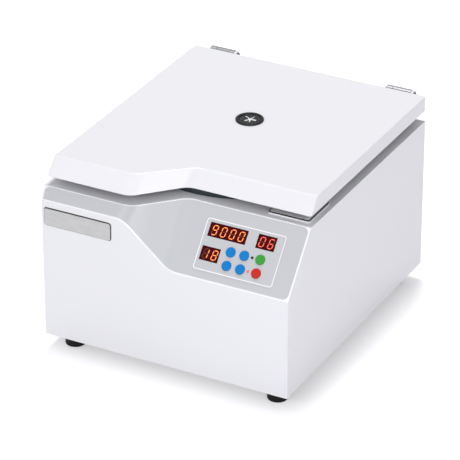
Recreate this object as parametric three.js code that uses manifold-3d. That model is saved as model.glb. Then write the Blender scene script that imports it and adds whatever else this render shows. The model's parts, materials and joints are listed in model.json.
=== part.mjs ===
// Benchtop centrifuge for platelet-rich plasma, with a hinged lid and a swing-out rotor.
// Lengths are in millimetres. X points right, Y points back and Z points up. Inside the
// housing group, heights count from the underside of the housing and y = 0 is its middle.
import * as THREE from 'three';
import { mergeVertices } from 'three/addons/utils/BufferGeometryUtils.js';
import Module from 'manifold-3d';

// Clearances and cutting
const fit = 0.3; // gap between neighbouring pieces
const overrun = 6; // how far a cut runs past the face that it opens
const mergeDistance = 1e-4; // corners closer than this are one corner

// Round shapes: how many flats stand for a full turn
const largeFlats = 40;
const middleFlats = 20;
const smallFlats = 12;
const bendSteps = 5;
const cornerSteps = 3;

// Housing: its height follows from the drive and the buckets
const bodyWidth = 340;
const housingSheet = 2;
const housingCornerRadius = 3;
const baseSheet = 2;
const rearSheet = 2;
const deckSheet = 2;

// Front top edge and control fascia: a low strip on the left, a long slope on the right
const frontDropLeft = 18; // top edge of the front face below the deck
const frontDropRight = 73;
const deckSetbackLeft = 8.5;
const deckSetbackRight = 60.5;
const frontBendLeft = 57; // left of the middle
const frontBendRight = 7.5; // right of the middle
const deckBendLeft = 48;
const deckBendRight = 4;
const bendReach = 11; // how far before a bend the edge starts to curve
const facetSteps = 5; // spans across the twisted facet between the two bends
const fasciaSheet = 2;

// Nameplate on the front face
const plateWidth = 94.5;
const plateHeight = 23.2;
const plateThickness = 1.2;
const plateRadius = 4;
const plateFromLeft = 3; // from the side of the housing
const plateBelowEdge = 8.6; // from the top edge of the front face

// Feet
const footHeight = 21;
const footRadius = 12.7;
const footTaper = 1.2;
const footFromSide = 27;
const footFromFront = 28.5;
const footNeckRadius = 4;
const footHeadRadius = 5.8;
const footHeadHeight = 3;

// Lid
const lidSideInset = 3; // from the side of the housing
const lidRise = 32; // top of the lid above the deck
const lidFlange = 20; // height of its edges
const lidOverhang = 6.5; // past the rear of the housing
const lidSheet = 1.5;
const lidCornerRadius = 3;
const lidSetbackLeft = 30; // top edge behind the front face
const lidSetbackRight = 82.5;
const lidBendLeft = 53.5;
const lidBendRight = 6;
const lipSetbackLeft = 10.5; // lower edge behind the front face
const lipSetbackRight = 65.5;
const lipBendLeft = 51;
const lipBendRight = 0.5;
const linerInset = 6;
const linerSheet = 1.5;

// Sight glass in the middle of the lid
const sightRadius = 18;
const sightRise = 2;
const sightTubeRadius = 15.5;
const sightBore = 13.5;
const sightLedge = 1.2;
const sightChamfer = 0.8;
const lensThickness = 2.6;

// Chamber: these margins of deck lie round it, and its size and the housing's depth follow
const chamberSideMargin = 30;
const chamberRearMargin = 19;
const chamberFrontMargin = 87;
const bowlSheet = 1.2;
const bowlRim = 8;
const bowlFillet = 16;
const gasketLedge = 3; // the rim left bare inside the seal
const gasketWidth = 12;
const gasketHeight = 8;
const gasketRound = 2.5;

// Drive
const isolatorRadius = 10;
const isolatorHeight = 16;
const isolatorCircle = 62;
const isolatorCount = 3;
const isolatorWaist = 2;
const mountRadius = 76;
const mountSheet = 3;
const motorRadius = 50;
const motorHeight = 44;
const motorEdge = 3;
const bossRadius = 18;
const bossHeight = 10;
const bearingRadius = 13;
const bearingHeight = 8;
const bootRise = 11.6; // from the motor's boss to the chamber's floor
const bootLip = 3;
const bootHoleRadius = 26;

// Rotor
const spindleRadius = 8;
const spindleTip = 6;
const spindleTail = 12; // below the bearing
const trunnionDrop = 34; // trunnion axis below the deck
const trunnionCircle = 58;
const trunnionRadius = 3;
const trunnionReach = 3.6;
const headRadius = 84;
const headHeight = 14;
const hubRadius = 24;
const hubRise = 4;
const hubDrop = 8;
const notchHalf = 22.2;
const notchStart = 31.5;
const nutRadius = 13;
const nutHeight = 7;
const nutSides = 6;
const nutFlangeRadius = 16;
const nutFlangeHeight = 3;
const nutDome = 4;

// Swing-out buckets
const bucketCount = 4;
const bucketBore = 15.3; // radius, for 50 ml tubes
const bucketWall = 2.2;
const bucketSwingGap = 12; // to the chamber's wall when a bucket is swung out
const bucketFloorGap = 15; // to the chamber's floor at rest
const bucketRise = 14; // above the trunnion axis
const bucketFloor = 4;
const bucketEndCone = 12;
const collarRadius = 21;
const collarHeight = 12;
const collarBelow = 4; // how far the collar reaches below the trunnion axis

// Control panel on the slope, up the slope from its front edge
const overlayWidth = 107.5;
const overlayHeight = 65;
const overlayThickness = 0.5;
const overlayRadius = 4;
const overlayShift = 1.45; // right of the middle of the slope
const overlayS = 45;
const windowHeight = 16.4;
const windowMargin = 1.3; // the display module is larger than its window all round
const wideWindow = 48.3;
const narrowWindow = 23.6;
const speedLeft = 22.3; // left of the middle of the overlay
const timeRight = 29.8; // right of it
const countLeft = 36.9;
const upperWindowRise = 19; // above the middle of the overlay
const lowerWindowDrop = 11.2; // below it
const keyRadius = 6.25;
const keyRise = 1.4; // above the overlay
const keyDome = 0.5;
const keyFlange = 1;
const keyFlangeHeight = 1;
const keyTravel = 0.9;
const upperKeyDrop = 2.7; // below the middle of the overlay
const lowerKeyDrop = 20;
const leftKeyLeft = 11.2; // left of it
const middleKeyRight = 7.2; // right of it
const rightKeyRight = 28.8;
const lampRight = 17.8;
const lampRadius = 1.6;
const lampRise = 0.8;
const boardMarginX = 3;
const boardMarginS = 3;
const boardSheet = 1.6;
const boardDepth = 7; // length of the studs that hold it
const studRadius = 2.4;
const studInset = 5;
const switchHalf = 3;

// Lid lock at the right front corner of the deck
const lockPlateSize = 53;
const lockPlateSheet = 2;
const lockSealSheet = 1;
const lockFromSide = 9;
const lockBehindEdge = 11; // behind the front edge of the deck
const lockPlateRadius = 2;
const lockSlotWidth = 8;
const lockSlotLength = 26;
const lockSlotInset = 13; // from the outer side of the plate to the middle of the slot
const lockBodyHeight = 34;
const lockBodyWall = 4;
const strikerThickness = 3;
const strikerLength = 12;
const strikerDrop = 30; // below the liner
const strikerWindow = 8.5;
const strikerTip = 4;
const boltRadius = 3;
const boltLength = 14;

// Hinges behind the lid
const hingeFromSide = 42.5; // from the side of the housing to a hinge's middle
const hingeLength = 38;
const hingeKnuckle = 9.5; // each outer knuckle
const hingeRadius = 7;
const hingePinRadius = 3;
const hingeBehindLid = 0.8; // barrel behind the lid's back edge
const hingeBelowTop = 0.5; // barrel below the lid's top
const hingeLeaf = 2.2;
const hingeLeafDrop = 38; // foot of the fixed leaf below the deck
const hingeHeadLength = 1.6;
const hingeHeadRadius = 4.6;
const hingeLeafMargin = 2.5;

// Power inlet on the rear panel
const inletFromSide = 65;
const inletZ = 52;
const inletEar = 9; // of the flange beside its body
const inletLip = 6; // of the flange above and below its body
const inletFlange = 2.5;
const inletRadius = 3;
const inletBodyDepth = 28;
const socketWidth = 24.4;
const socketHeight = 16.6;
const socketDepth = 16;
const socketWall = 2.8; // beside the socket
const socketMargin = 3.2; // below the socket
const socketGap = 4.1; // between the socket and the fuse drawer
const pinWide = 4;
const pinThin = 2;
const pinLength = 13;
const pinSpread = 7;
const pinOffset = 2;
const drawerWidth = 22;
const drawerHeight = 7;
const drawerDepth = 12;
const drawerGap = 3.1; // between the fuse drawer and the rocker
const drawerLip = 1;
const rockerWidth = 21;
const rockerHeight = 12;
const rockerDepth = 7.5;
const rockerMargin = 2; // above the rocker
const rockerTilt = 8; // degrees either side of level
const rockerBody = 5;
const rockerRise = 1.6;

// Louvres in the rear panel
const louvreCount = 8;
const louvreWidth = 62;
const louvreHeight = 4;
const louvrePitch = 10;
const louvreFromSide = 75; // to the middle of a row
const louvreZ = 123;

// Electronics on the base
const driveBoardWidth = 84;
const driveBoardLength = 70;
const driveBoardFromSide = 20;
const driveBoardFromFront = 38;
const standoffHeight = 6;
const standoffRadius = 3;
const standoffInset = 6;
const sinkHeight = 24;
const sinkThickness = 3;
const sinkFins = 5;
const sinkMargin = 10;
const supplyWidth = 96;
const supplyLength = 56;
const supplyHeight = 34;
const supplyFromSide = 18;
const supplyFromFront = 39;

// Sizes that follow from the ones above
const sideX = bodyWidth / 2;
const chamberRadius = sideX - chamberSideMargin;
const bucketDrop = chamberRadius - trunnionCircle - bucketSwingGap;
const mountBottom = baseSheet + fit + isolatorHeight + fit;
const motorBottom = mountBottom + mountSheet + fit;
const motorTop = motorBottom + motorHeight;
const bossTop = motorTop + bossHeight;
const chamberFloor = bossTop + bootRise;
const trunnionZ = chamberFloor + bucketFloorGap + bucketDrop;
const bodyHeight = trunnionZ + trunnionDrop;
const bodyDepth = 2 * chamberRadius + chamberRearMargin + chamberFrontMargin;
const frontY = -bodyDepth / 2;
const rearY = bodyDepth / 2;
const chamberY = rearY - chamberRearMargin - chamberRadius;
const frontHeightLeft = bodyHeight - frontDropLeft;
const frontHeightRight = bodyHeight - frontDropRight;
const deckFrontLeft = frontY + deckSetbackLeft;
const deckFrontRight = frontY + deckSetbackRight;
const lidWidth = bodyWidth - 2 * lidSideInset;
const lidTop = bodyHeight + lidRise;
const lipHeight = lidTop - lidFlange;
const lidBack = rearY + lidOverhang;
const linerBottom = bodyHeight + gasketHeight + fit;
const innerX = sideX - housingSheet - fit;
const bowlOuter = chamberRadius + bowlSheet;
const gasketInner = chamberRadius + gasketLedge;
const gasketOuter = gasketInner + gasketWidth;
const headTop = trunnionZ + headHeight / 2;
const headBottom = trunnionZ - headHeight / 2;
const hubTop = headTop + hubRise;
const bucketRadius = bucketBore + bucketWall;
const slopeAngle = Math.atan2(frontDropRight, deckSetbackRight);
const overlayX = (frontBendRight + sideX) / 2 + overlayShift;
const lampX = overlayX + lampRight;
const hingeSpread = sideX - hingeFromSide;
const inletX = sideX - inletFromSide;
const inletBodyWidth = socketWidth + 2 * socketWall;
const drawerStack = drawerGap + drawerHeight + socketGap;
const inletBodyHeight = rockerMargin + rockerHeight + drawerStack + socketHeight + socketMargin;
const rockerAbove = (inletBodyHeight - rockerHeight) / 2 - rockerMargin;
const drawerAbove = rockerAbove - (rockerHeight + drawerHeight) / 2 - drawerGap;
const socketBelow = (inletBodyHeight - socketHeight) / 2 - socketMargin;
const louvreX = sideX - louvreFromSide;
const hingeY = lidBack + hingeBehindLid + hingeRadius;
const hingeZ = lidTop - hingeBelowTop - hingeRadius;
const lockX = sideX - lockFromSide - lockPlateSize / 2;
const lockY = deckFrontRight + lockBehindEdge + lockPlateSize / 2;
const slotX = lockX + lockPlateSize / 2 - lockSlotInset;
const boardTop = -fasciaSheet - boardDepth;
const reachFront = frontY - fit - plateThickness;
const reachBack = hingeY + hingeRadius;

const wasm = await Module();
wasm.setup();

// Joining and cutting

function toSolid(geometry) {
  const bare = geometry.clone();
  bare.deleteAttribute('normal');
  bare.deleteAttribute('uv');
  const merged = mergeVertices(bare, mergeDistance);
  const corners = merged.index.array;
  const triangles = [];
  for (let i = 0; i < corners.length; i += 3) {
    const [a, b, c] = [corners[i], corners[i + 1], corners[i + 2]];
    if (a !== b && b !== c && c !== a) triangles.push(a, b, c);
  }
  const vertProperties = new Float32Array(merged.attributes.position.array);
  const mesh = new wasm.Mesh({ numProp: 3, vertProperties, triVerts: new Uint32Array(triangles) });
  return new wasm.Manifold(mesh);
}

function toGeometry(solid) {
  const mesh = solid.getMesh();
  const geometry = new THREE.BufferGeometry();
  geometry.setAttribute('position', new THREE.BufferAttribute(new Float32Array(mesh.vertProperties), 3));
  geometry.setIndex(new THREE.BufferAttribute(new Uint32Array(mesh.triVerts), 1));
  geometry.computeVertexNormals();
  return geometry;
}

function join(...shapes) {
  return toGeometry(shapes.map(toSolid).reduce((whole, next) => whole.add(next)));
}

function cut(base, ...tools) {
  return toGeometry(tools.map(toSolid).reduce((whole, next) => whole.subtract(next), toSolid(base)));
}

function keepInside(base, limit) {
  return toGeometry(toSolid(base).intersect(toSolid(limit)));
}

// Basic shapes

function block(x0, x1, y0, y1, z0, z1) {
  const geometry = new THREE.BoxGeometry(x1 - x0, y1 - y0, z1 - z0);
  return geometry.translate((x0 + x1) / 2, (y0 + y1) / 2, (z0 + z1) / 2);
}

function drum(radius, z0, z1, flats, x = 0, y = 0) {
  const geometry = new THREE.CylinderGeometry(radius, radius, z1 - z0, flats);
  return geometry.rotateX(Math.PI / 2).translate(x, y, (z0 + z1) / 2);
}

function crossDrum(radius, x0, x1, flats, y, z) {
  const geometry = new THREE.CylinderGeometry(radius, radius, x1 - x0, flats);
  return geometry.rotateZ(Math.PI / 2).translate((x0 + x1) / 2, y, z);
}

// A turned shape about the Z axis: the outline is a list of [radius, height] that runs
// up the outside, and either starts and ends on the axis or closes on itself.
function turned(outline, flats, x = 0, y = 0) {
  const points = outline.map(([radius, height]) => new THREE.Vector2(radius, height));
  const [first, last] = [points[0], points[points.length - 1]];
  if (first.x > 0 || last.x > 0) points.push(first.clone());
  return new THREE.LatheGeometry(points, flats).rotateX(Math.PI / 2).translate(x, y, 0);
}

function extruded(points, z0, z1) {
  const geometry = new THREE.ExtrudeGeometry(new THREE.Shape(points), { depth: z1 - z0, bevelEnabled: false });
  return geometry.translate(0, 0, z0);
}

// An outline in the YZ plane, drawn out along X
function crossExtruded(outline, x0, x1) {
  const points = outline.map(([y, z]) => new THREE.Vector2(y, z));
  const geometry = new THREE.ExtrudeGeometry(new THREE.Shape(points), { depth: x1 - x0, bevelEnabled: false });
  return geometry.rotateZ(Math.PI / 2).rotateY(Math.PI / 2).translate(x0, 0, 0);
}

function rectangle(width, height, x = 0, y = 0) {
  return [[-1, -1], [1, -1], [1, 1], [-1, 1]].map(([i, j]) => [x + (i * width) / 2, y + (j * height) / 2]);
}

// Rounds the corners of an outline: one reach, or one for each corner
function rounded(corners, reach, steps, closed = true) {
  const points = [];
  corners.forEach(([x, y], i) => {
    const distance = Array.isArray(reach) ? reach[i] : reach;
    const inner = closed || (i > 0 && i < corners.length - 1);
    const corner = new THREE.Vector2(x, y);
    if (!inner || distance === 0) {
      points.push(corner);
      return;
    }
    const before = new THREE.Vector2(...corners[(i + corners.length - 1) % corners.length]);
    const after = new THREE.Vector2(...corners[(i + 1) % corners.length]);
    const start = corner.clone().add(before.sub(corner).setLength(distance));
    const end = corner.clone().add(after.sub(corner).setLength(distance));
    points.push(...new THREE.QuadraticBezierCurve(start, corner, end).getPoints(steps));
  });
  return points;
}

// Moves each edge of a counter-clockwise outline inwards
function inset(corners, distance) {
  const count = corners.length;
  const edges = corners.map(([x, y], i) => {
    const [nextX, nextY] = corners[(i + 1) % count];
    const along = new THREE.Vector2(nextX - x, nextY - y).normalize();
    const start = new THREE.Vector2(x - along.y * distance, y + along.x * distance);
    return { start, along };
  });
  return edges.map((edge, i) => {
    const before = edges[(i + count - 1) % count];
    const gap = edge.start.clone().sub(before.start);
    const share = gap.cross(edge.along) / before.along.cross(edge.along);
    return before.start.clone().addScaledVector(before.along, share).toArray();
  });
}

// A closed body from a row of sections, each a ring of points
function sweep(sections) {
  const ring = sections[0].length;
  const positions = sections.flat().flatMap((point) => point.toArray());
  const triangles = [];
  for (let i = 0; i < sections.length - 1; i += 1) {
    for (let j = 0; j < ring; j += 1) {
      const [a, b] = [i * ring + j, i * ring + ((j + 1) % ring)];
      triangles.push(a, b, b + ring, a, b + ring, a + ring);
    }
  }
  const lastStart = (sections.length - 1) * ring;
  for (let j = 1; j < ring - 1; j += 1) {
    triangles.push(0, j + 1, j);
    triangles.push(lastStart, lastStart + j, lastStart + j + 1);
  }
  return meshOf(positions, triangles);
}

// A closed body between two outlines of as many points, one above the other
function loft(lower, upper, z0, z1) {
  const count = lower.length;
  const positions = [...lower.flatMap((p) => [p.x, p.y, z0]), ...upper.flatMap((p) => [p.x, p.y, z1])];
  const triangles = [];
  for (let i = 0; i < count; i += 1) {
    const j = (i + 1) % count;
    triangles.push(i, j, j + count, i, j + count, i + count);
  }
  for (const [a, b, c] of THREE.ShapeUtils.triangulateShape(lower, [])) {
    triangles.push(a, c, b);
    triangles.push(a + count, b + count, c + count);
  }
  return meshOf(positions, triangles);
}

function meshOf(positions, triangles) {
  const geometry = new THREE.BufferGeometry();
  geometry.setAttribute('position', new THREE.Float32BufferAttribute(positions, 3));
  geometry.setIndex(triangles);
  return geometry;
}

// The sloped front: straight lines run from the deck's front edge to the top edge of the front face

// Rounds both bends, and divides the span between them so that the twisted facet keeps its curve
function bent(corners) {
  const points = rounded(corners, bendReach, bendSteps, false);
  const middle = points.length / 2;
  const [before, after] = [points[middle - 1], points[middle]];
  const between = Array.from({ length: facetSteps - 1 }, (_, i) => before.clone().lerp(after, (i + 1) / facetSteps));
  return [...points.slice(0, middle), ...between, ...points.slice(middle)];
}

function deckEdge() {
  const corners = [
    [-sideX - overrun, deckFrontLeft],
    [-deckBendLeft, deckFrontLeft],
    [deckBendRight, deckFrontRight],
    [sideX + overrun, deckFrontRight],
  ];
  return bent(corners).map((point) => new THREE.Vector3(point.x, point.y, bodyHeight));
}

function frontEdge() {
  const corners = [
    [-sideX - overrun, frontHeightLeft],
    [-frontBendLeft, frontHeightLeft],
    [frontBendRight, frontHeightRight],
    [sideX + overrun, frontHeightRight],
  ];
  return bent(corners).map((point) => new THREE.Vector3(point.x, frontY, point.y));
}

// All that lies above and before the sloped front
function frontCutter() {
  const front = frontEdge();
  const sections = deckEdge().map((upper, i) => {
    const lower = front[i];
    return [
      lower,
      upper,
      new THREE.Vector3(upper.x, upper.y, bodyHeight + overrun),
      new THREE.Vector3(lower.x, frontY - overrun, bodyHeight + overrun),
      new THREE.Vector3(lower.x, frontY - overrun, lower.z),
    ];
  });
  return sweep(sections);
}

function fasciaSlab(thickness) {
  const front = frontEdge();
  const back = new THREE.Vector3(0, 1, -1).setLength(thickness);
  const sections = deckEdge().map((upper, i) => {
    const reach = upper.clone().sub(front[i]).setLength(overrun);
    const low = front[i].clone().sub(reach);
    const high = upper.clone().add(reach);
    return [low, low.clone().add(back), high.clone().add(back), high];
  });
  return sweep(sections);
}

// Housing

function housingShell() {
  const outer = [[sideX, rearY], [-sideX, rearY], [-sideX, frontY], [sideX, frontY]];
  const shell = extruded(rounded(outer, [0, 0, housingCornerRadius, housingCornerRadius], cornerSteps), 0, bodyHeight);
  const [hollowX, hollowY] = [sideX - housingSheet, frontY + housingSheet];
  const hollow = block(-hollowX, hollowX, hollowY, rearY + overrun, -overrun, bodyHeight + overrun);
  return cut(shell, hollow, frontCutter());
}

function footPlaces() {
  const [x, y] = [sideX - footFromSide, rearY - footFromFront];
  return [
    ['foot_front_left', -x, -y],
    ['foot_front_right', x, -y],
    ['foot_rear_left', -x, y],
    ['foot_rear_right', x, y],
  ];
}

function basePlate() {
  const [x, y] = [innerX, rearY - housingSheet - fit];
  const sheet = block(-x, x, -y, y, 0, baseSheet);
  const holes = footPlaces().map(([, footX, footY]) => (
    drum(footNeckRadius + fit, -overrun, baseSheet + overrun, smallFlats, footX, footY)
  ));
  return cut(sheet, ...holes);
}

function foot(x, y) {
  const top = -fit;
  const headStart = baseSheet + fit;
  const outline = [
    [0, -footHeight],
    [footRadius - footTaper, -footHeight],
    [footRadius, top - footTaper],
    [footRadius - footTaper, top],
    [footNeckRadius, top],
    [footNeckRadius, headStart],
    [footHeadRadius, headStart],
    [footNeckRadius, headStart + footHeadHeight],
    [0, headStart + footHeadHeight],
  ];
  return turned(outline, smallFlats, x, y);
}

function deckPlate() {
  const y = rearY;
  const sheet = block(-innerX, innerX, frontY, y, bodyHeight - deckSheet, bodyHeight);
  const hole = drum(bowlOuter + fit, -overrun, bodyHeight + overrun, largeFlats, 0, chamberY);
  return cut(sheet, hole, lockSlot(bodyHeight - deckSheet - overrun, bodyHeight + overrun), frontCutter());
}

function lockSlot(z0, z1) {
  const [halfX, halfY] = [lockSlotWidth / 2, lockSlotLength / 2];
  return block(slotX - halfX, slotX + halfX, lockY - halfY, lockY + halfY, z0, z1);
}

function rearPanel() {
  const bottom = baseSheet + fit;
  const top = bodyHeight - deckSheet - fit;
  const sheet = block(-innerX, innerX, rearY - rearSheet, rearY, bottom, top);
  const [halfX, halfZ] = [inletBodyWidth / 2 + fit, inletBodyHeight / 2 + fit];
  const [y0, y1] = [rearY - rearSheet - overrun, rearY + overrun];
  const tools = [block(inletX - halfX, inletX + halfX, y0, y1, inletZ - halfZ, inletZ + halfZ)];
  const firstZ = louvreZ - (louvrePitch * (louvreCount - 1)) / 2;
  for (let i = 0; i < louvreCount; i += 1) {
    const z = firstZ + i * louvrePitch;
    for (const x of [-louvreX, louvreX]) {
      const [x0, x1] = [x - louvreWidth / 2, x + louvreWidth / 2];
      tools.push(block(x0, x1, y0, y1, z - louvreHeight / 2, z + louvreHeight / 2));
    }
  }
  return cut(sheet, ...tools);
}

function nameplate() {
  const corners = rectangle(plateWidth, plateHeight);
  const geometry = extruded(rounded(corners, plateRadius, cornerSteps), 0, plateThickness);
  const x = -sideX + plateFromLeft + plateWidth / 2;
  const z = frontHeightLeft - plateBelowEdge - plateHeight / 2;
  return geometry.rotateX(Math.PI / 2).translate(x, frontY - fit, z);
}

// Control panel, drawn flat: X along the slope's width, Y up the slope, Z out of it

const [upperWindowS, lowerWindowS] = [overlayS + upperWindowRise, overlayS - lowerWindowDrop];
const [upperKeyS, lowerKeyS] = [overlayS - upperKeyDrop, overlayS - lowerKeyDrop];
const [keyLeftX, keyMiddleX] = [overlayX - leftKeyLeft, overlayX + middleKeyRight];
const keyRightX = overlayX + rightKeyRight;

const windows = [
  { name: 'speed_display', x: overlayX - speedLeft, s: upperWindowS, width: wideWindow },
  { name: 'time_display', x: overlayX + timeRight, s: upperWindowS, width: narrowWindow },
  { name: 'count_display', x: overlayX - countLeft, s: lowerWindowS, width: narrowWindow },
];

const keys = [
  { name: 'key_upper_left', x: keyLeftX, s: upperKeyS, colour: 0x1b87dd },
  { name: 'key_upper_middle', x: keyMiddleX, s: upperKeyS, colour: 0x1b87dd },
  { name: 'key_start', x: keyRightX, s: upperKeyS, colour: 0x3fa535 },
  { name: 'key_lower_left', x: keyLeftX, s: lowerKeyS, colour: 0x1b87dd },
  { name: 'key_lower_middle', x: keyMiddleX, s: lowerKeyS, colour: 0x1b87dd },
  { name: 'key_stop', x: keyRightX, s: lowerKeyS, colour: 0xd8302c },
];

const lamps = [
  { name: 'lamp_upper', s: upperKeyS },
  { name: 'lamp_lower', s: lowerKeyS },
];

function roundHoles(z0, z1) {
  const forKeys = keys.map(({ x, s }) => drum(keyRadius + fit, z0, z1, smallFlats, x, s));
  const forLamps = lamps.map(({ s }) => drum(lampRadius + fit, z0, z1, smallFlats, lampX, s));
  return [...forKeys, ...forLamps];
}

function windowHoles(margin, z0, z1) {
  return windows.map(({ x, s, width }) => {
    const [halfX, halfS] = [width / 2 + margin, windowHeight / 2 + margin];
    return block(x - halfX, x + halfX, s - halfS, s + halfS, z0, z1);
  });
}

function boardEdges() {
  const [halfX, halfS] = [overlayWidth / 2 + boardMarginX, overlayHeight / 2 + boardMarginS];
  return [overlayX - halfX, overlayX + halfX, overlayS - halfS, overlayS + halfS];
}

function studPlaces() {
  const [x0, x1, s0, s1] = boardEdges();
  return [x0 + studInset, x1 - studInset].flatMap((x) => [s0 + studInset, s1 - studInset].map((s) => [x, s]));
}

// Lays a shape that is drawn flat onto the slope
function onSlope(geometry) {
  return geometry.rotateX(slopeAngle).translate(0, frontY, frontHeightRight);
}

function fascia() {
  const limit = block(-innerX, innerX, frontY + housingSheet + fit, rearY, 0, bodyHeight - deckSheet - fit);
  const reach = fasciaSheet / Math.cos(slopeAngle - Math.PI / 4);
  const panel = keepInside(fasciaSlab(reach), limit);
  const holes = [...windowHoles(windowMargin + fit, -overrun, overrun), ...roundHoles(-overrun, overrun)];
  const studs = studPlaces().map(([x, s]) => drum(studRadius, boardTop + fit, -fasciaSheet / 2, smallFlats, x, s));
  return join(cut(panel, ...holes.map(onSlope)), ...studs.map(onSlope));
}

function overlay() {
  const corners = rectangle(overlayWidth, overlayHeight, overlayX, overlayS);
  const top = fit + overlayThickness;
  const film = extruded(rounded(corners, overlayRadius, cornerSteps), fit, top);
  return cut(film, ...windowHoles(0, -overrun, overrun), ...roundHoles(-overrun, overrun));
}

function display({ x, s, width }) {
  const [halfX, halfS] = [width / 2 + windowMargin, windowHeight / 2 + windowMargin];
  return block(x - halfX, x + halfX, s - halfS, s + halfS, boardTop + fit, -fit);
}

function controlBoard() {
  const [x0, x1, s0, s1] = boardEdges();
  const sheet = block(x0, x1, s0, s1, boardTop - boardSheet, boardTop);
  const switchTop = -fasciaSheet - fit - keyFlangeHeight - keyTravel - fit;
  const switches = keys.map(({ x, s }) => (
    block(x - switchHalf, x + switchHalf, s - switchHalf, s + switchHalf, boardTop - boardSheet / 2, switchTop)
  ));
  return join(sheet, ...switches);
}

function key({ x, s }) {
  const top = fit + overlayThickness + keyRise;
  const flangeTop = -fasciaSheet - fit;
  const bottom = flangeTop - keyFlangeHeight;
  const outline = [
    [0, bottom],
    [keyRadius + keyFlange, bottom],
    [keyRadius + keyFlange, flangeTop],
    [keyRadius, flangeTop],
    [keyRadius, top - keyDome],
    [keyRadius - keyDome, top - keyDome / 4],
    [0, top],
  ];
  return turned(outline, smallFlats, x, s);
}

function lamp({ s }) {
  const top = fit + overlayThickness + lampRise;
  const outline = [
    [0, boardTop + fit],
    [lampRadius, boardTop + fit],
    [lampRadius, top - lampRise],
    [lampRadius / 2, top],
    [0, top],
  ];
  return turned(outline, smallFlats, lampX, s);
}

// Lid

function lidCorners(setbackLeft, setbackRight, bendLeft, bendRight) {
  const x = lidWidth / 2;
  return [
    [-x, frontY + setbackLeft],
    [-bendLeft, frontY + setbackLeft],
    [bendRight, frontY + setbackRight],
    [x, frontY + setbackRight],
    [x, lidBack],
    [-x, lidBack],
  ];
}

function lidTopCorners() {
  return lidCorners(lidSetbackLeft, lidSetbackRight, lidBendLeft, lidBendRight);
}

function lidLipCorners() {
  return lidCorners(lipSetbackLeft, lipSetbackRight, lipBendLeft, lipBendRight);
}

function lidRounded(corners, radius) {
  return rounded(corners, [radius, bendReach, bendReach, radius, radius, radius], bendSteps);
}

function lidShell() {
  const outer = loft(
    lidRounded(lidLipCorners(), lidCornerRadius),
    lidRounded(lidTopCorners(), lidCornerRadius),
    lipHeight,
    lidTop,
  );
  const innerRadius = lidCornerRadius - lidSheet / 2;
  const lowerInner = lidRounded(inset(lidLipCorners(), lidSheet), innerRadius);
  const upperInner = lidRounded(inset(lidTopCorners(), lidSheet), innerRadius);
  const ceiling = lidTop - lidSheet;
  const hollow = loft(lowerInner, upperInner, lipHeight, ceiling);
  const mouth = extruded(lowerInner, lipHeight - overrun, lipHeight + fit);
  const hole = drum(sightTubeRadius + fit, lipHeight, lidTop + overrun, middleFlats, 0, chamberY);
  return cut(outer, hollow, mouth, hole);
}

function lidLiner() {
  const top = lidTop - lidSheet - fit;
  const [lower, upper] = [lidLipCorners(), lidTopCorners()].map((corners) => inset(corners, linerInset));
  const outer = loft(lidRounded(lower, lidCornerRadius), lidRounded(upper, lidCornerRadius), linerBottom, top);
  const [lowerInner, upperInner] = [lower, upper].map((corners) => (
    lidRounded(inset(corners, linerSheet), lidCornerRadius)
  ));
  const hollow = join(
    loft(lowerInner, upperInner, linerBottom + linerSheet, top),
    extruded(upperInner, top - fit, top + overrun),
  );
  const hole = drum(sightTubeRadius + fit, linerBottom - overrun, top, middleFlats, 0, chamberY);
  return cut(outer, hollow, hole);
}

function sightBezel() {
  const [flangeBottom, top] = [lidTop + fit, lidTop + fit + sightRise];
  const ledgeTop = top - sightChamfer - lensThickness - fit;
  const outline = [
    [sightBore - sightLedge, linerBottom],
    [sightTubeRadius, linerBottom],
    [sightTubeRadius, flangeBottom],
    [sightRadius, flangeBottom],
    [sightRadius, top - sightChamfer],
    [sightRadius - sightChamfer, top],
    [sightBore + sightChamfer, top],
    [sightBore, top - sightChamfer],
    [sightBore, ledgeTop],
    [sightBore - sightLedge, ledgeTop],
  ];
  return turned(outline, middleFlats, 0, chamberY);
}

function sightLens() {
  const top = lidTop + fit + sightRise - sightChamfer;
  return drum(sightBore - fit, top - lensThickness, top, middleFlats, 0, chamberY);
}

function lidStriker() {
  const [halfX, halfY] = [strikerThickness / 2, strikerLength / 2];
  const top = linerBottom - fit;
  const bottom = top - strikerDrop;
  const strap = block(slotX - halfX, slotX + halfX, lockY - halfY, lockY + halfY, bottom, top);
  const foot = block(slotX - halfY, slotX + halfY, lockY - halfY, lockY + halfY, top - strikerThickness, top);
  const windowBottom = bottom + strikerTip;
  const [y0, y1] = [lockY - strikerWindow / 2, lockY + strikerWindow / 2];
  const hole = block(slotX - overrun, slotX + overrun, y0, y1, windowBottom, windowBottom + strikerWindow);
  return cut(join(strap, foot), hole);
}

// Lid lock

function lockPlateSolid(z0, z1) {
  const corners = rectangle(lockPlateSize, lockPlateSize, lockX, lockY);
  const sheet = extruded(rounded(corners, lockPlateRadius, cornerSteps), z0, z1);
  const ring = drum(gasketOuter + fit, z0 - overrun, z1 + overrun, largeFlats, 0, chamberY);
  return cut(sheet, ring, lockSlot(z0 - overrun, z1 + overrun));
}

function lockSeal() {
  return lockPlateSolid(bodyHeight + fit, bodyHeight + fit + lockSealSheet);
}

function lockPlate() {
  const bottom = bodyHeight + fit + lockSealSheet + fit;
  return lockPlateSolid(bottom, bottom + lockPlateSheet);
}

function boltHeight() {
  return linerBottom - fit - strikerDrop + strikerTip + strikerWindow / 2;
}

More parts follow.
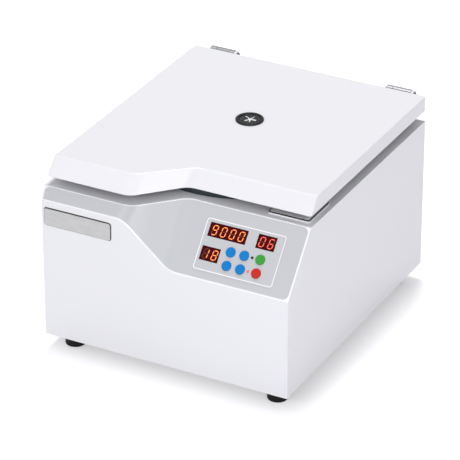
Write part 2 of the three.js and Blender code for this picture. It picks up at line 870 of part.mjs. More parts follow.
function lockBody() {
  const top = bodyHeight - deckSheet - fit;
  const bottom = top - lockBodyHeight;
  const [halfX, halfY] = [lockSlotWidth / 2 + lockBodyWall, lockSlotLength / 2 + lockBodyWall];
  const right = slotX + lockSlotWidth / 2 + boltLength + fit;
  const frame = block(slotX - halfX, right, lockY - halfY, lockY + halfY, bottom, top);
  const bore = crossDrum(boltRadius + fit, slotX, right + overrun, smallFlats, lockY, boltHeight());
  return cut(frame, lockSlot(bottom + lockBodyWall, top + overrun), bore);
}

function lockBolt() {
  const left = slotX + lockSlotWidth / 2 + fit;
  return crossDrum(boltRadius, left, left + boltLength, smallFlats, lockY, boltHeight());
}

// Hinges

function hingeSpans() {
  const half = hingeLength / 2;
  return [[-half, -half + hingeKnuckle], [half - hingeKnuckle, half]];
}

function fixedLeaf(x) {
  const face = rearY + fit;
  const outer = face + hingeLeaf;
  const shoulder = bodyHeight - hingeLeafMargin;
  const strip = [
    [face, bodyHeight - hingeLeafDrop],
    [outer, bodyHeight - hingeLeafDrop],
    [outer, shoulder - hingeLeaf],
    [hingeY + hingeLeaf, hingeZ - hingeRadius],
    [hingeY + hingeLeaf, hingeZ],
    [hingeY - hingeLeaf, hingeZ],
    [hingeY - hingeLeaf, hingeZ - hingeRadius],
    [face, shoulder + hingeLeaf],
  ];
  const half = hingeLength / 2;
  const knuckles = hingeSpans().map(([x0, x1]) => crossDrum(hingeRadius, x0, x1, smallFlats, hingeY, hingeZ));
  const leaf = join(crossExtruded(strip, -half, half), ...knuckles);
  const middle = half - hingeKnuckle + fit;
  const room = hingeRadius + fit;
  const gap = block(-middle, middle, hingeY - room, hingeY + room, hingeZ - room, hingeZ + room);
  const bore = crossDrum(hingePinRadius + fit, -hingeLength, hingeLength, smallFlats, hingeY, hingeZ);
  return cut(leaf, gap, bore).translate(x, 0, 0);
}

function movingLeaf(x) {
  const half = hingeLength / 2 - hingeKnuckle;
  const face = lidBack + fit;
  const [low, high] = [lipHeight + hingeLeafMargin, lidTop - hingeLeafMargin];
  const plate = block(-half, half, face, face + hingeLeaf, low, high);
  const web = block(-half, half, face, hingeY, hingeZ - hingeLeaf, hingeZ + hingeLeaf);
  const knuckle = crossDrum(hingeRadius, -half, half, smallFlats, hingeY, hingeZ);
  const bore = crossDrum(hingePinRadius + fit, -hingeLength, hingeLength, smallFlats, hingeY, hingeZ);
  return cut(join(plate, web, knuckle), bore).translate(x, 0, 0);
}

function hingePin(x) {
  const end = hingeLength / 2 + fit;
  const shaft = crossDrum(hingePinRadius, -end, end, smallFlats, hingeY, hingeZ);
  const head = crossDrum(hingeHeadRadius, end, end + hingeHeadLength, smallFlats, hingeY, hingeZ);
  const clip = crossDrum(hingeHeadRadius, -end - hingeHeadLength, -end, smallFlats, hingeY, hingeZ);
  return join(shaft, head, clip).translate(x, 0, 0);
}

// Chamber

function chamberBowl() {
  const rimTop = bodyHeight + fit + bowlSheet;
  const floorBottom = chamberFloor - bowlSheet;
  const outline = [
    [bootHoleRadius, floorBottom],
    [bowlOuter - bowlFillet, floorBottom],
    [bowlOuter - bowlFillet / 4, floorBottom + bowlFillet / 4],
    [bowlOuter, floorBottom + bowlFillet],
    [bowlOuter, bodyHeight + fit],
    [bowlOuter + bowlRim, bodyHeight + fit],
    [bowlOuter + bowlRim, rimTop],
    [chamberRadius, rimTop],
    [chamberRadius, chamberFloor + bowlFillet],
    [chamberRadius - bowlFillet / 4, chamberFloor + bowlFillet / 4],
    [chamberRadius - bowlFillet, chamberFloor],
    [bootHoleRadius, chamberFloor],
  ];
  return turned(outline, largeFlats, 0, chamberY);
}

function chamberGasket() {
  const rimTop = bodyHeight + fit + bowlSheet + fit;
  const skirt = bowlOuter + bowlRim + fit;
  const top = bodyHeight + gasketHeight;
  const outline = [
    [skirt, bodyHeight + fit],
    [gasketOuter, bodyHeight + fit],
    [gasketOuter, top - gasketRound],
    [gasketOuter - gasketRound, top],
    [gasketInner + gasketRound, top],
    [gasketInner, top - gasketRound],
    [gasketInner, rimTop],
    [skirt, rimTop],
  ];
  return turned(outline, largeFlats, 0, chamberY);
}

// Drive

function isolator(angle) {
  const [bottom, top] = [baseSheet + fit, baseSheet + fit + isolatorHeight];
  const outline = [
    [0, bottom],
    [isolatorRadius, bottom],
    [isolatorRadius - isolatorWaist, (bottom + top) / 2],
    [isolatorRadius, top],
    [0, top],
  ];
  const [x, y] = [isolatorCircle * Math.cos(angle), isolatorCircle * Math.sin(angle)];
  return turned(outline, smallFlats, x, chamberY + y);
}

function motorMount() {
  return drum(mountRadius, mountBottom, mountBottom + mountSheet, middleFlats, 0, chamberY);
}

function motorBody() {
  const outline = [
    [0, motorBottom],
    [motorRadius - motorEdge, motorBottom],
    [motorRadius, motorBottom + motorEdge],
    [motorRadius, motorTop - motorEdge],
    [motorRadius - motorEdge, motorTop],
    [bossRadius, motorTop],
    [bossRadius, bossTop],
    [bearingRadius + fit, bossTop],
    [bearingRadius + fit, bossTop - bearingHeight - fit],
    [spindleRadius + fit, bossTop - bearingHeight - fit],
    [spindleRadius + fit, bossTop - bearingHeight - spindleTail],
    [0, bossTop - bearingHeight - spindleTail],
  ];
  return turned(outline, middleFlats, 0, chamberY);
}

function motorBearing() {
  const [bottom, top] = [bossTop - bearingHeight, bossTop];
  const outline = [
    [spindleRadius + fit, bottom],
    [bearingRadius, bottom],
    [bearingRadius, top],
    [spindleRadius + fit, top],
  ];
  return turned(outline, middleFlats, 0, chamberY);
}

function spindleBoot() {
  const [bottom, top] = [bossTop + fit, chamberFloor + bootLip];
  const floorBottom = chamberFloor - bowlSheet - fit;
  const outline = [
    [bearingRadius, bottom],
    [bossRadius + bootLip, bottom],
    [bossRadius + bootLip, floorBottom - bootLip],
    [bootHoleRadius + bootLip, floorBottom - bootLip],
    [bootHoleRadius + bootLip, floorBottom],
    [bootHoleRadius - fit, floorBottom],
    [bootHoleRadius - fit, chamberFloor + fit],
    [bootHoleRadius + bootLip, chamberFloor + fit],
    [bootHoleRadius, top],
    [bearingRadius, top],
  ];
  return turned(outline, middleFlats, 0, chamberY);
}

function driveBoard() {
  const [x0, y0] = [driveBoardFromSide - sideX, frontY + driveBoardFromFront];
  const [x1, y1] = [x0 + driveBoardWidth, y0 + driveBoardLength];
  const bottom = baseSheet + fit;
  const boardBottom = bottom + standoffHeight;
  const sheetTop = boardBottom + boardSheet;
  const legs = [x0 + standoffInset, x1 - standoffInset].flatMap((x) => (
    [y0 + standoffInset, y1 - standoffInset].map((y) => (
      drum(standoffRadius, bottom, boardBottom + boardSheet / 2, smallFlats, x, y)
    ))
  ));
  const finGap = (driveBoardWidth - 2 * sinkMargin - sinkThickness) / (sinkFins - 1);
  const finEnd = y1 - 2 * sinkMargin;
  const fins = Array.from({ length: sinkFins }, (_, i) => {
    const x = x0 + sinkMargin + i * finGap;
    return block(x, x + sinkThickness, y0 + 2 * sinkMargin, finEnd, boardBottom + boardSheet / 2, sheetTop + sinkHeight);
  });
  return join(block(x0, x1, y0, y1, boardBottom, sheetTop), ...legs, ...fins);
}

function powerSupply() {
  const [x1, y0] = [sideX - supplyFromSide, frontY + supplyFromFront];
  const [x0, y1] = [x1 - supplyWidth, y0 + supplyLength];
  return block(x0, x1, y0, y1, baseSheet + fit, baseSheet + fit + supplyHeight);
}

// Rotor, about its own axis

function spindle() {
  const bottom = bossTop - bearingHeight - spindleTail + fit;
  const outline = [
    [0, bottom],
    [spindleRadius, bottom],
    [spindleRadius, headBottom - hubDrop - fit],
    [spindleTip, headBottom - hubDrop - fit],
    [spindleTip, hubTop + nutHeight],
    [0, hubTop + nutHeight],
  ];
  return turned(outline, smallFlats);
}

function rotorHead() {
  const [bottom, top] = [headBottom - hubDrop, hubTop];
  const plate = drum(headRadius, headBottom, headTop, largeFlats);
  const hub = drum(hubRadius, bottom, top, middleFlats);
  const notches = [];
  const pins = [];
  for (let i = 0; i < bucketCount; i += 1) {
    const turn = (i * 2 * Math.PI) / bucketCount;
    const end = headRadius + overrun;
    notches.push(block(notchStart, end, -notchHalf, notchHalf, bottom, top).rotateZ(turn));
    for (const side of [-1, 1]) {
      const pin = new THREE.CylinderGeometry(trunnionRadius, trunnionRadius, 2 * trunnionReach, smallFlats);
      pins.push(pin.translate(trunnionCircle, side * notchHalf, trunnionZ).rotateZ(turn));
    }
  }
  const bore = drum(spindleTip + fit, bottom - overrun, top + overrun, smallFlats);
  return join(cut(join(plate, hub), ...notches, bore), ...pins);
}

function rotorNut() {
  const bottom = hubTop + fit;
  const flangeTop = bottom + nutFlangeHeight;
  const flange = drum(nutFlangeRadius, bottom, flangeTop, middleFlats);
  const hexTop = bottom + nutHeight + nutDome;
  const hex = drum(nutRadius, bottom, hexTop, nutSides);
  const bore = drum(spindleTip + fit, bottom - overrun, bottom + nutHeight, smallFlats);
  return cut(join(flange, hex), bore);
}

// A bucket at the right-hand place; its trunnion slots open downwards
function bucket() {
  const [bottom, top] = [trunnionZ - bucketDrop, trunnionZ + bucketRise];
  const [collarBottom, collarTop] = [trunnionZ - collarBelow, trunnionZ - collarBelow + collarHeight];
  const outline = [
    [0, bottom],
    [bucketRadius - bucketEndCone / 2, bottom],
    [bucketRadius, bottom + bucketEndCone],
    [bucketRadius, collarBottom],
    [collarRadius, collarBottom],
    [collarRadius, collarTop],
    [bucketRadius, collarTop],
    [bucketRadius, top],
    [bucketBore, top],
    [bucketBore, bottom + bucketEndCone],
    [bucketBore - bucketEndCone / 2, bottom + bucketFloor],
    [0, bottom + bucketFloor],
  ];
  const slotHalf = trunnionRadius + fit;
  const tools = [-1, 1].flatMap((side) => {
    const inner = side * (notchHalf - trunnionReach - fit);
    const outer = side * (collarRadius + overrun);
    const [y0, y1] = [Math.min(inner, outer), Math.max(inner, outer)];
    const round = new THREE.CylinderGeometry(slotHalf, slotHalf, y1 - y0, smallFlats);
    round.translate(0, (y0 + y1) / 2, trunnionZ);
    return [round, block(-slotHalf, slotHalf, y0, y1, collarBottom - overrun, trunnionZ)];
  });
  return cut(turned(outline, middleFlats), ...tools).translate(trunnionCircle, 0, 0);
}

// Power inlet module: socket below, fuse drawer in the middle, rocker above

function inletBlock(width, height, z, y0, y1) {
  return block(inletX - width / 2, inletX + width / 2, y0, y1, z - height / 2, z + height / 2);
}

function powerInlet() {
  const face = rearY + fit + inletFlange;
  const corners = rectangle(inletBodyWidth + 2 * inletEar, inletBodyHeight + 2 * inletLip);
  const flange = extruded(rounded(corners, inletRadius, cornerSteps), 0, inletFlange);
  flange.rotateX(Math.PI / 2).translate(inletX, face, inletZ);
  const body = inletBlock(inletBodyWidth, inletBodyHeight, inletZ, face - inletBodyDepth, rearY + 2 * fit);
  const socketZ = inletZ - socketBelow;
  const socket = inletBlock(socketWidth, socketHeight, socketZ, face - socketDepth, face + overrun);
  const drawerRoom = inletBlock(
    drawerWidth + 2 * fit,
    drawerHeight + 2 * fit,
    inletZ + drawerAbove,
    face - drawerDepth - fit,
    face + overrun,
  );
  const rockerRoom = inletBlock(
    rockerWidth + 4 * fit,
    rockerHeight + 2 * fit,
    inletZ + rockerAbove,
    face - rockerDepth,
    face + overrun,
  );
  const pins = [[-pinSpread, -pinOffset], [pinSpread, -pinOffset], [0, pinOffset]].map(([x, z]) => {
    const [x0, x1] = [inletX + x - pinThin / 2, inletX + x + pinThin / 2];
    const [z0, z1] = [socketZ + z - pinWide / 2, socketZ + z + pinWide / 2];
    return block(x0, x1, face - socketDepth - fit, face - socketDepth + pinLength, z0, z1);
  });
  return join(cut(join(flange, body), socket, drawerRoom, rockerRoom), ...pins);
}

function fuseDrawer() {
  const face = rearY + fit + inletFlange;
  return inletBlock(drawerWidth, drawerHeight, inletZ + drawerAbove, face - drawerDepth, face + drawerLip);
}

// The rocker is a shallow wedge that rests with its left end pressed in
function powerRocker() {
  const face = rearY + fit + inletFlange;
  const half = rockerWidth / 2;
  const slant = half * Math.tan(THREE.MathUtils.degToRad(rockerTilt));
  const outline = [
    [-half, 0],
    [half, 0],
    [half, rockerRise + slant],
    [0, rockerRise],
    [-half, rockerRise + slant],
  ].map(([x, y]) => new THREE.Vector2(x, y));
  const lower = outline.map((point) => new THREE.Vector2(point.x, point.y === 0 ? slant - rockerBody : point.y));
  const geometry = extruded(lower, -rockerHeight / 2, rockerHeight / 2);
  geometry.rotateZ(THREE.MathUtils.degToRad(rockerTilt));
  return geometry.translate(inletX, face - rockerRise, inletZ + rockerAbove);
}

// Finishes

const finishes = {
  white: [0xe9e9ee, 0.45, 0.1],
  grey: [0xcaccd0, 0.5, 0.1],
  steel: [0xb9bbbe, 0.35, 0.9],
  aluminium: [0xc9cbce, 0.4, 0.9],
  zinc: [0xa9acb0, 0.5, 0.8],
  black: [0x1b1b1d, 0.6, 0],
  rubber: [0x17181a, 0.85, 0],
  film: [0xd5d8da, 0.4, 0],
  display: [0x3a0008, 0.25, 0],
  board: [0x1f5a34, 0.6, 0],
  glass: [0xdfe6e8, 0.05, 0],
  lampRed: [0xc4302c, 0.3, 0],
};

function finish(name) {
  const [color, roughness, metalness] = finishes[name];
  return new THREE.MeshStandardMaterial({ color, roughness, metalness });
}

function add(group, name, geometry, material) {
  const mesh = new THREE.Mesh(geometry, material);
  mesh.name = name;
  group.add(mesh);
}

// Assembly

function addHousing(group) {
  add(group, 'housing_shell', housingShell(), finish('white'));
  add(group, 'base_plate', basePlate(), finish('zinc'));
  add(group, 'rear_panel', rearPanel(), finish('white'));
  add(group, 'deck_plate', deckPlate(), finish('white'));
  add(group, 'blank_nameplate', nameplate(), finish('aluminium'));
  footPlaces().forEach(([name, x, y]) => add(group, name, foot(x, y), finish('rubber')));
}

function addControls(group) {
  add(group, 'control_fascia', fascia(), finish('grey'));
  const slope = new THREE.Group();
  slope.position.set(0, frontY, frontHeightRight);
  slope.rotation.x = slopeAngle;
  add(slope, 'control_overlay', overlay(), finish('film'));
  add(slope, 'control_board', controlBoard(), finish('board'));
  windows.forEach((opening) => add(slope, opening.name, display(opening), finish('display')));
  lamps.forEach((place) => add(slope, place.name, lamp(place), finish('lampRed')));
  keys.forEach((place) => {
    const material = new THREE.MeshStandardMaterial({ color: place.colour, roughness: 0.4, metalness: 0 });
    add(slope, place.name, key(place), material);
  });
  group.add(slope);
}

function addChamberAndDrive(group) {
  add(group, 'chamber_bowl', chamberBowl(), finish('steel'));
  add(group, 'chamber_gasket', chamberGasket(), finish('rubber'));
  for (let i = 0; i < isolatorCount; i += 1) {
    const angle = Math.PI / 2 + (i * 2 * Math.PI) / isolatorCount;
    add(group, `motor_isolator_${i + 1}`, isolator(angle), finish('rubber'));
  }
  add(group, 'motor_mount', motorMount(), finish('zinc'));
  add(group, 'motor_body', motorBody(), finish('aluminium'));
  add(group, 'motor_bearing', motorBearing(), finish('steel'));
  add(group, 'spindle_boot', spindleBoot(), finish('rubber'));
  add(group, 'drive_board', driveBoard(), finish('board'));
  add(group, 'power_supply', powerSupply(), finish('zinc'));
}

function addRotor(group) {
  const rotor = new THREE.Group();
  rotor.position.y = chamberY;
  add(rotor, 'spindle', spindle(), finish('steel'));
  add(rotor, 'rotor_head', rotorHead(), finish('aluminium'));
  add(rotor, 'rotor_nut', rotorNut(), finish('steel'));
  for (let i = 0; i < bucketCount; i += 1) {
    const place = new THREE.Group();
    place.rotation.z = (i * 2 * Math.PI) / bucketCount;
    add(place, `bucket_${i + 1}`, bucket(), finish('aluminium'));
    rotor.add(place);
  }
  group.add(rotor);
}

function addLid(group) {
  add(group, 'lid_shell', lidShell(), finish('white'));
  add(group, 'lid_liner', lidLiner(), finish('white'));
  add(group, 'sight_bezel', sightBezel(), finish('black'));
  add(group, 'sight_lens', sightLens(), finish('glass'));
  add(group, 'lid_striker', lidStriker(), finish('steel'));
}

function addLock(group) {
  add(group, 'lock_seal', lockSeal(), finish('rubber'));
  add(group, 'lock_plate', lockPlate(), finish('aluminium'));
  add(group, 'lock_body', lockBody(), finish('zinc'));
  add(group, 'lock_bolt', lockBolt(), finish('steel'));
}

function addHinges(group) {
  [['left', -hingeSpread], ['right', hingeSpread]].forEach(([side, x]) => {
    add(group, `hinge_fixed_leaf_${side}`, fixedLeaf(x), finish('zinc'));
    add(group, `hinge_moving_leaf_${side}`, movingLeaf(x), finish('zinc'));
    add(group, `hinge_pin_${side}`, hingePin(x), finish('steel'));
  });
}

function addPower(group) {
  add(group, 'power_inlet', powerInlet(), finish('black'));
  add(group, 'fuse_drawer', fuseDrawer(), finish('black'));
  add(group, 'power_rocker', powerRocker(), finish('black'));
}

// The origin lies on the surface that the feet stand on, under the middle of the object
const centrifuge = new THREE.Group();
const housing = new THREE.Group();
housing.position.set(0, -(reachFront + reachBack) / 2, footHeight);
centrifuge.add(housing);
addHousing(housing);
addControls(housing);
addChamberAndDrive(housing);
addRotor(housing);
addLid(housing);
addLock(housing);
addHinges(housing);
addPower(housing);

export default centrifuge;
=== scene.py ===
import json
import math
import bmesh
import bpy
from mathutils import Matrix, Vector


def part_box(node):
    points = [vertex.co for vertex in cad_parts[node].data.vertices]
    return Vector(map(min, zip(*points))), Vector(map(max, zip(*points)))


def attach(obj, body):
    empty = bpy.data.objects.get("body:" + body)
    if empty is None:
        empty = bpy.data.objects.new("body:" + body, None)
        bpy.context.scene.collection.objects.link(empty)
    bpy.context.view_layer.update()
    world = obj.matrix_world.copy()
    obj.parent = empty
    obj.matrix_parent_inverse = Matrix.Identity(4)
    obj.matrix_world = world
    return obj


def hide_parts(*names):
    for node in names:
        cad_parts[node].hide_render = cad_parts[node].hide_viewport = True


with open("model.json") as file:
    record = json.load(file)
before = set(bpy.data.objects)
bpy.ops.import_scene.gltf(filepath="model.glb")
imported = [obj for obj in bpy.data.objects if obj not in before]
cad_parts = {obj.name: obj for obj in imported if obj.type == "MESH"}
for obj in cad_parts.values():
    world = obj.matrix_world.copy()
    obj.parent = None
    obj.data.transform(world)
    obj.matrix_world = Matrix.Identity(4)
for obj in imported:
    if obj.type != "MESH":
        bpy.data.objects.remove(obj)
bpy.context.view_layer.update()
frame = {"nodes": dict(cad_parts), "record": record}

# Pieces are drawn in millimetres from the underside of the housing, whose middle is y = 0,
# and go into the frame when they are finished. X points right and Y points back.
shellLow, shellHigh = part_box("housing_shell")
origin = Vector((0, (shellLow.y + shellHigh.y) / 2, shellLow.z))
toFrame = Matrix.Translation(origin) @ Matrix.Scale(0.001, 4)

housing = {
    "halfWidth": 170,
    "halfDepth": 193,
    "height": 206.5,
    "sheet": 2,
    "corner": 1.2,
    "frontLeft": 188.5,  # top edge of the front face
    "frontRight": 133.5,
    "deckLeft": -184.5,  # front edge of the deck
    "deckRight": -132.5,
    "bendReach": 11,
    "foldRadius": 1.3,
}
chamberY = 34
slopeAngle = math.atan2(
    housing["height"] - housing["frontRight"], housing["halfDepth"] + housing["deckRight"])
slopeFrame = Matrix.Translation((0, -housing["halfDepth"], housing["frontRight"])) @ Matrix.Rotation(
    slopeAngle, 4, "X")


# Working in the viewport

def clearSelection():
    bpy.ops.object.select_all(action="DESELECT")


def focus(*pieces):
    clearSelection()
    for piece in pieces:
        piece.select_set(True)
    bpy.context.view_layer.objects.active = pieces[0]


def settle(name):  # the new object keeps its place in its mesh
    piece = bpy.context.object
    piece.name = piece.data.name = name
    bpy.ops.object.transform_apply(location=True, rotation=True, scale=True)
    return piece


def addBlock(name, low, high):
    clearSelection()
    low, high = Vector(low), Vector(high)
    bpy.ops.mesh.primitive_cube_add(size=1, location=(low + high) / 2, scale=high - low)
    return settle(name)


def addRod(name, start, end, radius, flats=48):
    clearSelection()
    start, end = Vector(start), Vector(end)
    turn = (end - start).to_track_quat("Z", "Y").to_euler()
    bpy.ops.mesh.primitive_cylinder_add(
        vertices=flats, radius=radius, depth=(end - start).length, location=(start + end) / 2, rotation=turn)
    return settle(name)


def edit(piece, select="DESELECT"):
    focus(piece)
    bpy.ops.object.mode_set(mode="EDIT")
    bpy.ops.mesh.select_mode(type="VERT")
    bpy.ops.mesh.select_all(action=select)


def leave():
    bpy.ops.object.mode_set(mode="OBJECT")


def faceOut():  # every face looks outwards
    bpy.ops.mesh.select_all(action="SELECT")
    bpy.ops.mesh.normals_make_consistent(inside=False)


def pick(piece, kind, test):  # selects by place and normal, or by place and direction for edges
    bpy.ops.mesh.select_mode(type=kind)
    bpy.ops.mesh.select_all(action="DESELECT")
    mesh = bmesh.from_edit_mesh(piece.data)
    for part in {"VERT": mesh.verts, "EDGE": mesh.edges, "FACE": mesh.faces}[kind]:
        if kind == "VERT":
            place, way = part.co, part.normal
        elif kind == "EDGE":
            place = (part.verts[0].co + part.verts[1].co) / 2
            way = (part.verts[1].co - part.verts[0].co).normalized()
        else:
            place, way = part.calc_center_median(), part.normal
        if test(place, way):
            part.select_set(True)
    mesh.select_flush_mode()
    bmesh.update_edit_mesh(piece.data)


def drawLine(name, corners, closed=False):  # one vertex, extruded from corner to corner
    corners = [Vector(corner).to_3d() for corner in corners]
    clearSelection()
    bpy.ops.mesh.primitive_plane_add(size=0.1, location=corners[0])
    piece = settle(name)
    edit(piece, "SELECT")
    bpy.ops.mesh.merge(type="CENTER")
    if closed:
        corners.append(corners[0])
    for before, after in zip(corners, corners[1:]):
        bpy.ops.mesh.extrude_vertices_move(TRANSFORM_OT_translate={"value": after - before})
    bpy.ops.mesh.select_all(action="SELECT")
    bpy.ops.mesh.remove_doubles(threshold=0.001)
    leave()
    return piece


def bevelAt(piece, kind, width, steps, test, clamp=False):
    edit(piece)
    pick(piece, kind, test)
    bpy.ops.mesh.bevel(offset=width, segments=steps, affect="EDGES", clamp_overlap=clamp)
    leave()


def fillOutline(name, corners, rise=None):  # a flat face, drawn up into a slab
    piece = drawLine(name, corners, closed=True)
    edit(piece, "SELECT")
    bpy.ops.mesh.edge_face_add()
    if rise:
        bpy.ops.mesh.extrude_region_move(TRANSFORM_OT_translate={"value": rise})
        faceOut()
    leave()
    return piece


def spinOutline(name, outline, centre=(0, chamberY), steps=64, closed=True):  # radius and height, turned about z
    corners = [(centre[0] + radius, centre[1], height) for radius, height in outline]
    piece = drawLine(name, corners, closed=closed)
    edit(piece, "SELECT")
    bpy.ops.mesh.spin(steps=steps, angle=2 * math.pi, center=(*centre, 0), axis=(0, 0, 1))
    bpy.ops.mesh.select_all(action="SELECT")
    bpy.ops.mesh.remove_doubles(threshold=0.001)
    faceOut()
    leave()
    return piece


def spinSolid(name, outline, reach, steps=48):  # its outline starts and ends on its own axis
    return spinOutline(name, rounded(outline, reach, 4), (0, 0), steps, closed=False)


def rounded(corners, reach, steps=6, closed=True):  # each corner gives way to a curve that starts this far before it
    corners = [Vector(corner) for corner in corners]
    line = []
    for i, corner in enumerate(corners):
        distance = reach[i] if isinstance(reach, (list, tuple)) else reach
        if distance == 0 or (not closed and i in (0, len(corners) - 1)):
            line.append(corner)
            continue
        start = corner + (corners[i - 1] - corner).normalized() * distance
        end = corner + (corners[(i + 1) % len(corners)] - corner).normalized() * distance
        for step in range(steps + 1):
            t = step / steps
            line.append((1 - t) ** 2 * start + 2 * t * (1 - t) * corner + t ** 2 * end)
    return line


def rectangle(x, y, width, height, corner=0.0, steps=5):
    halfX, halfY = width / 2, height / 2
    corners = [(x - halfX, y - halfY), (x + halfX, y - halfY), (x + halfX, y + halfY), (x - halfX, y + halfY)]
    return rounded(corners, corner, steps) if corner else [Vector(c) for c in corners]


def lift(points, height):
    return [Vector((point[0], point[1], height)) for point in points]


def acrossX(points, x):  # an outline drawn flat, stood up
    return [Vector((x, point[0], point[1])) for point in points]


def acrossY(points, y):
    return [Vector((point[0], y, point[1])) for point in points]


def slab(name, outline, low, high):
    return fillOutline(name, lift(outline, low), (0, 0, high - low))


def capped(name, lower, upper, height, edge, steps):  # walls between two outlines, closed with a rounded edge here
    shell = joined(name, [drawLine("lower", lower, closed=True), drawLine("upper", upper, closed=True)])
    edit(shell, "SELECT")
    bpy.ops.mesh.bridge_edge_loops()
    pick(shell, "EDGE", lambda place, way: abs(place.z - height) < 0.01)
    bpy.ops.mesh.edge_face_add()
    faceOut()
    leave()
    bevelAt(shell, "EDGE", edge, steps, lambda place, way: abs(place.z - height) < 0.01)
    return shell


def modify(piece, kind, **settings):
    focus(piece)
    modifier = piece.modifiers.new(kind.lower(), kind)
    for name, value in settings.items():
        setattr(modifier, name, value)
    bpy.ops.object.modifier_apply(modifier=modifier.name)


def softEdges(piece, width, segments=3, angle=35):
    modify(piece, "BEVEL", width=width, segments=segments, limit_method="ANGLE", angle_limit=math.radians(angle))


def thicken(piece, thickness, side=-1):
    modify(piece, "SOLIDIFY", thickness=thickness, offset=side, use_even_offset=True)


def faceUp(sheet):
    if sheet.data.polygons[0].normal.z < 0:
        edit(sheet, "SELECT")
        bpy.ops.mesh.flip_normals()
        leave()


def moved(x, y, z):
    return Matrix.Translation((x, y, z))


def turnedBy(degrees):
    return Matrix.Rotation(math.radians(degrees), 4, "Z")


def copyOf(piece, name, place=Matrix.Identity(4)):
    focus(piece)
    bpy.ops.object.duplicate(linked=False)
    new = bpy.context.object
    new.name = new.data.name = name
    new.matrix_world = place
    bpy.ops.object.transform_apply(location=True, rotation=True, scale=True)
    return new


def joined(name, pieces):
    focus(*pieces)
    if len(pieces) > 1:
        bpy.ops.object.join()
    whole = bpy.context.object
    whole.name = whole.data.name = name
    return whole


def discard(*pieces):
    for piece in pieces:
        bpy.data.meshes.remove(piece.data)


def combine(piece, tools, operation):
    tool = joined("tool", tools)
    modify(piece, "BOOLEAN", operation=operation, solver="EXACT", object=tool)
    discard(tool)


def cutWith(piece, *tools):
    combine(piece, tools, "DIFFERENCE")


def uniteWith(piece, *tools):
    combine(piece, tools, "UNION")


def finishPiece(piece, material, node=None, body="housing", place=toFrame, smooth=35):
    focus(piece)
    piece.matrix_world = place
    bpy.ops.object.transform_apply(location=True, rotation=True, scale=True)
    bpy.ops.object.shade_smooth_by_angle(angle=math.radians(smooth))
    modify(piece, "WEIGHTED_NORMAL", mode="FACE_AREA_WITH_ANGLE", keep_sharp=True)
    piece.data.materials.clear()
    piece.data.materials.append(material)
    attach(piece, body)
    if node:
        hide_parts(node)


onSlope = toFrame @ slopeFrame


# Materials

def hexColour(code):
    levels = [int(code[i:i + 2], 16) / 255 for i in (1, 3, 5)]
    return [c / 12.92 if c <= 0.04045 else ((c + 0.055) / 1.055) ** 2.4 for c in levels] + [1]


def addNode(tree, kind, values=None, links=None, **settings):
    new = tree.nodes.new(kind)
    for name, value in settings.items():
        setattr(new, name, value)
    for name, value in (values or {}).items():
        new.inputs[name].default_value = value
    for name, source in (links or {}).items():
        tree.links.new(source, new.inputs[name])
    return new


def vectorMath(tree, operation, source, other=(0, 0, 0)):
    step = addNode(tree, "ShaderNodeVectorMath", {1: other}, {0: source}, operation=operation)
    return step.outputs["Value" if operation == "LENGTH" else "Vector"]


# A pattern's size is in millimetres, one number or one for each axis, and its depth too.
# tone is how far the colour moves between dark and light, and gloss how far the roughness does.
def makeMaterial(name, colour, roughness, metallic=0, size=1.0, depth=0.0, tone=0.0, gloss=0.0, turned=False,
                 **sockets):
    material = bpy.data.materials.new(name)
    material.use_nodes = True
    tree = material.node_tree
    shader = tree.nodes["Principled BSDF"]
    base = hexColour(colour)
    for socket, value in {"Base Color": base, "Roughness": roughness, "Metallic": metallic, **sockets}.items():
        value = hexColour(value) if isinstance(value, str) else value
        shader.inputs[socket.replace("_", " ")].default_value = value
    spacing = size if isinstance(size, tuple) else (size, size, size)
    place = addNode(tree, "ShaderNodeTexCoord").outputs["Object"]
    if turned:  # turning marks: the pattern runs along the distance from the chamber's axis
        middle = vectorMath(tree, "SUBTRACT", place, tuple(origin + Vector((0, chamberY, 0)) / 1000))
        radius = vectorMath(tree, "LENGTH", vectorMath(tree, "MULTIPLY", middle, (1, 1, 0)))
        place = addNode(tree, "ShaderNodeCombineXYZ", links={"X": radius}).outputs[0]
    mapping = addNode(tree, "ShaderNodeMapping", {"Scale": [1000 / s for s in spacing]}, {"Vector": place})
    cloud = addNode(tree, "ShaderNodeTexNoise", {"Scale": 1.0, "Detail": 2}, {"Vector": mapping.outputs[0]})
    noise = cloud.outputs["Fac"]
    if tone:
        dark, light = ([c * (1 + tone * side) for c in base[:3]] + [1] for side in (-1, 1))
        mix = addNode(tree, "ShaderNodeMix", {6: dark, 7: light}, {"Factor": noise}, data_type="RGBA")
        tree.links.new(mix.outputs[2], shader.inputs["Base Color"])
    if gloss:
        level = addNode(tree, "ShaderNodeMapRange", {"To Min": roughness - gloss, "To Max": roughness + gloss},
                        {"Value": noise})
        tree.links.new(level.outputs["Result"], shader.inputs["Roughness"])
    if depth:
        bump = addNode(tree, "ShaderNodeBump", {"Strength": 1.0, "Distance": depth / 1000}, {"Height": noise})
        tree.links.new(bump.outputs["Normal"], shader.inputs["Normal"])
    return material


def makeBar(name, colour, glow, strength, tone=0.1):  # bar of a LED digit
    return makeMaterial(name, colour, 0.5, size=2.4, tone=tone, IOR=1.5, Specular_IOR_Level=0.2,
                        Emission_Color=glow, Emission_Strength=strength)


def makeCap(name, colour):  # moulded ABS: even colour, satin from a fine spark-eroded mould
    return makeMaterial(name, colour, 0.5, size=0.5, depth=0.006, tone=0.04, IOR=1.54, Specular_IOR_Level=0.2)


# Powder coat on steel: satin, with the fine orange peel that baking leaves
whiteCoat = makeMaterial("white_powder_coat", "#f1f1f6", 0.24, size=1.4, depth=0.008, gloss=0.04, IOR=1.5)
greyCoat = makeMaterial("grey_powder_coat", "#c9cbd0", 0.34, size=1.4, depth=0.012, gloss=0.05, IOR=1.5)
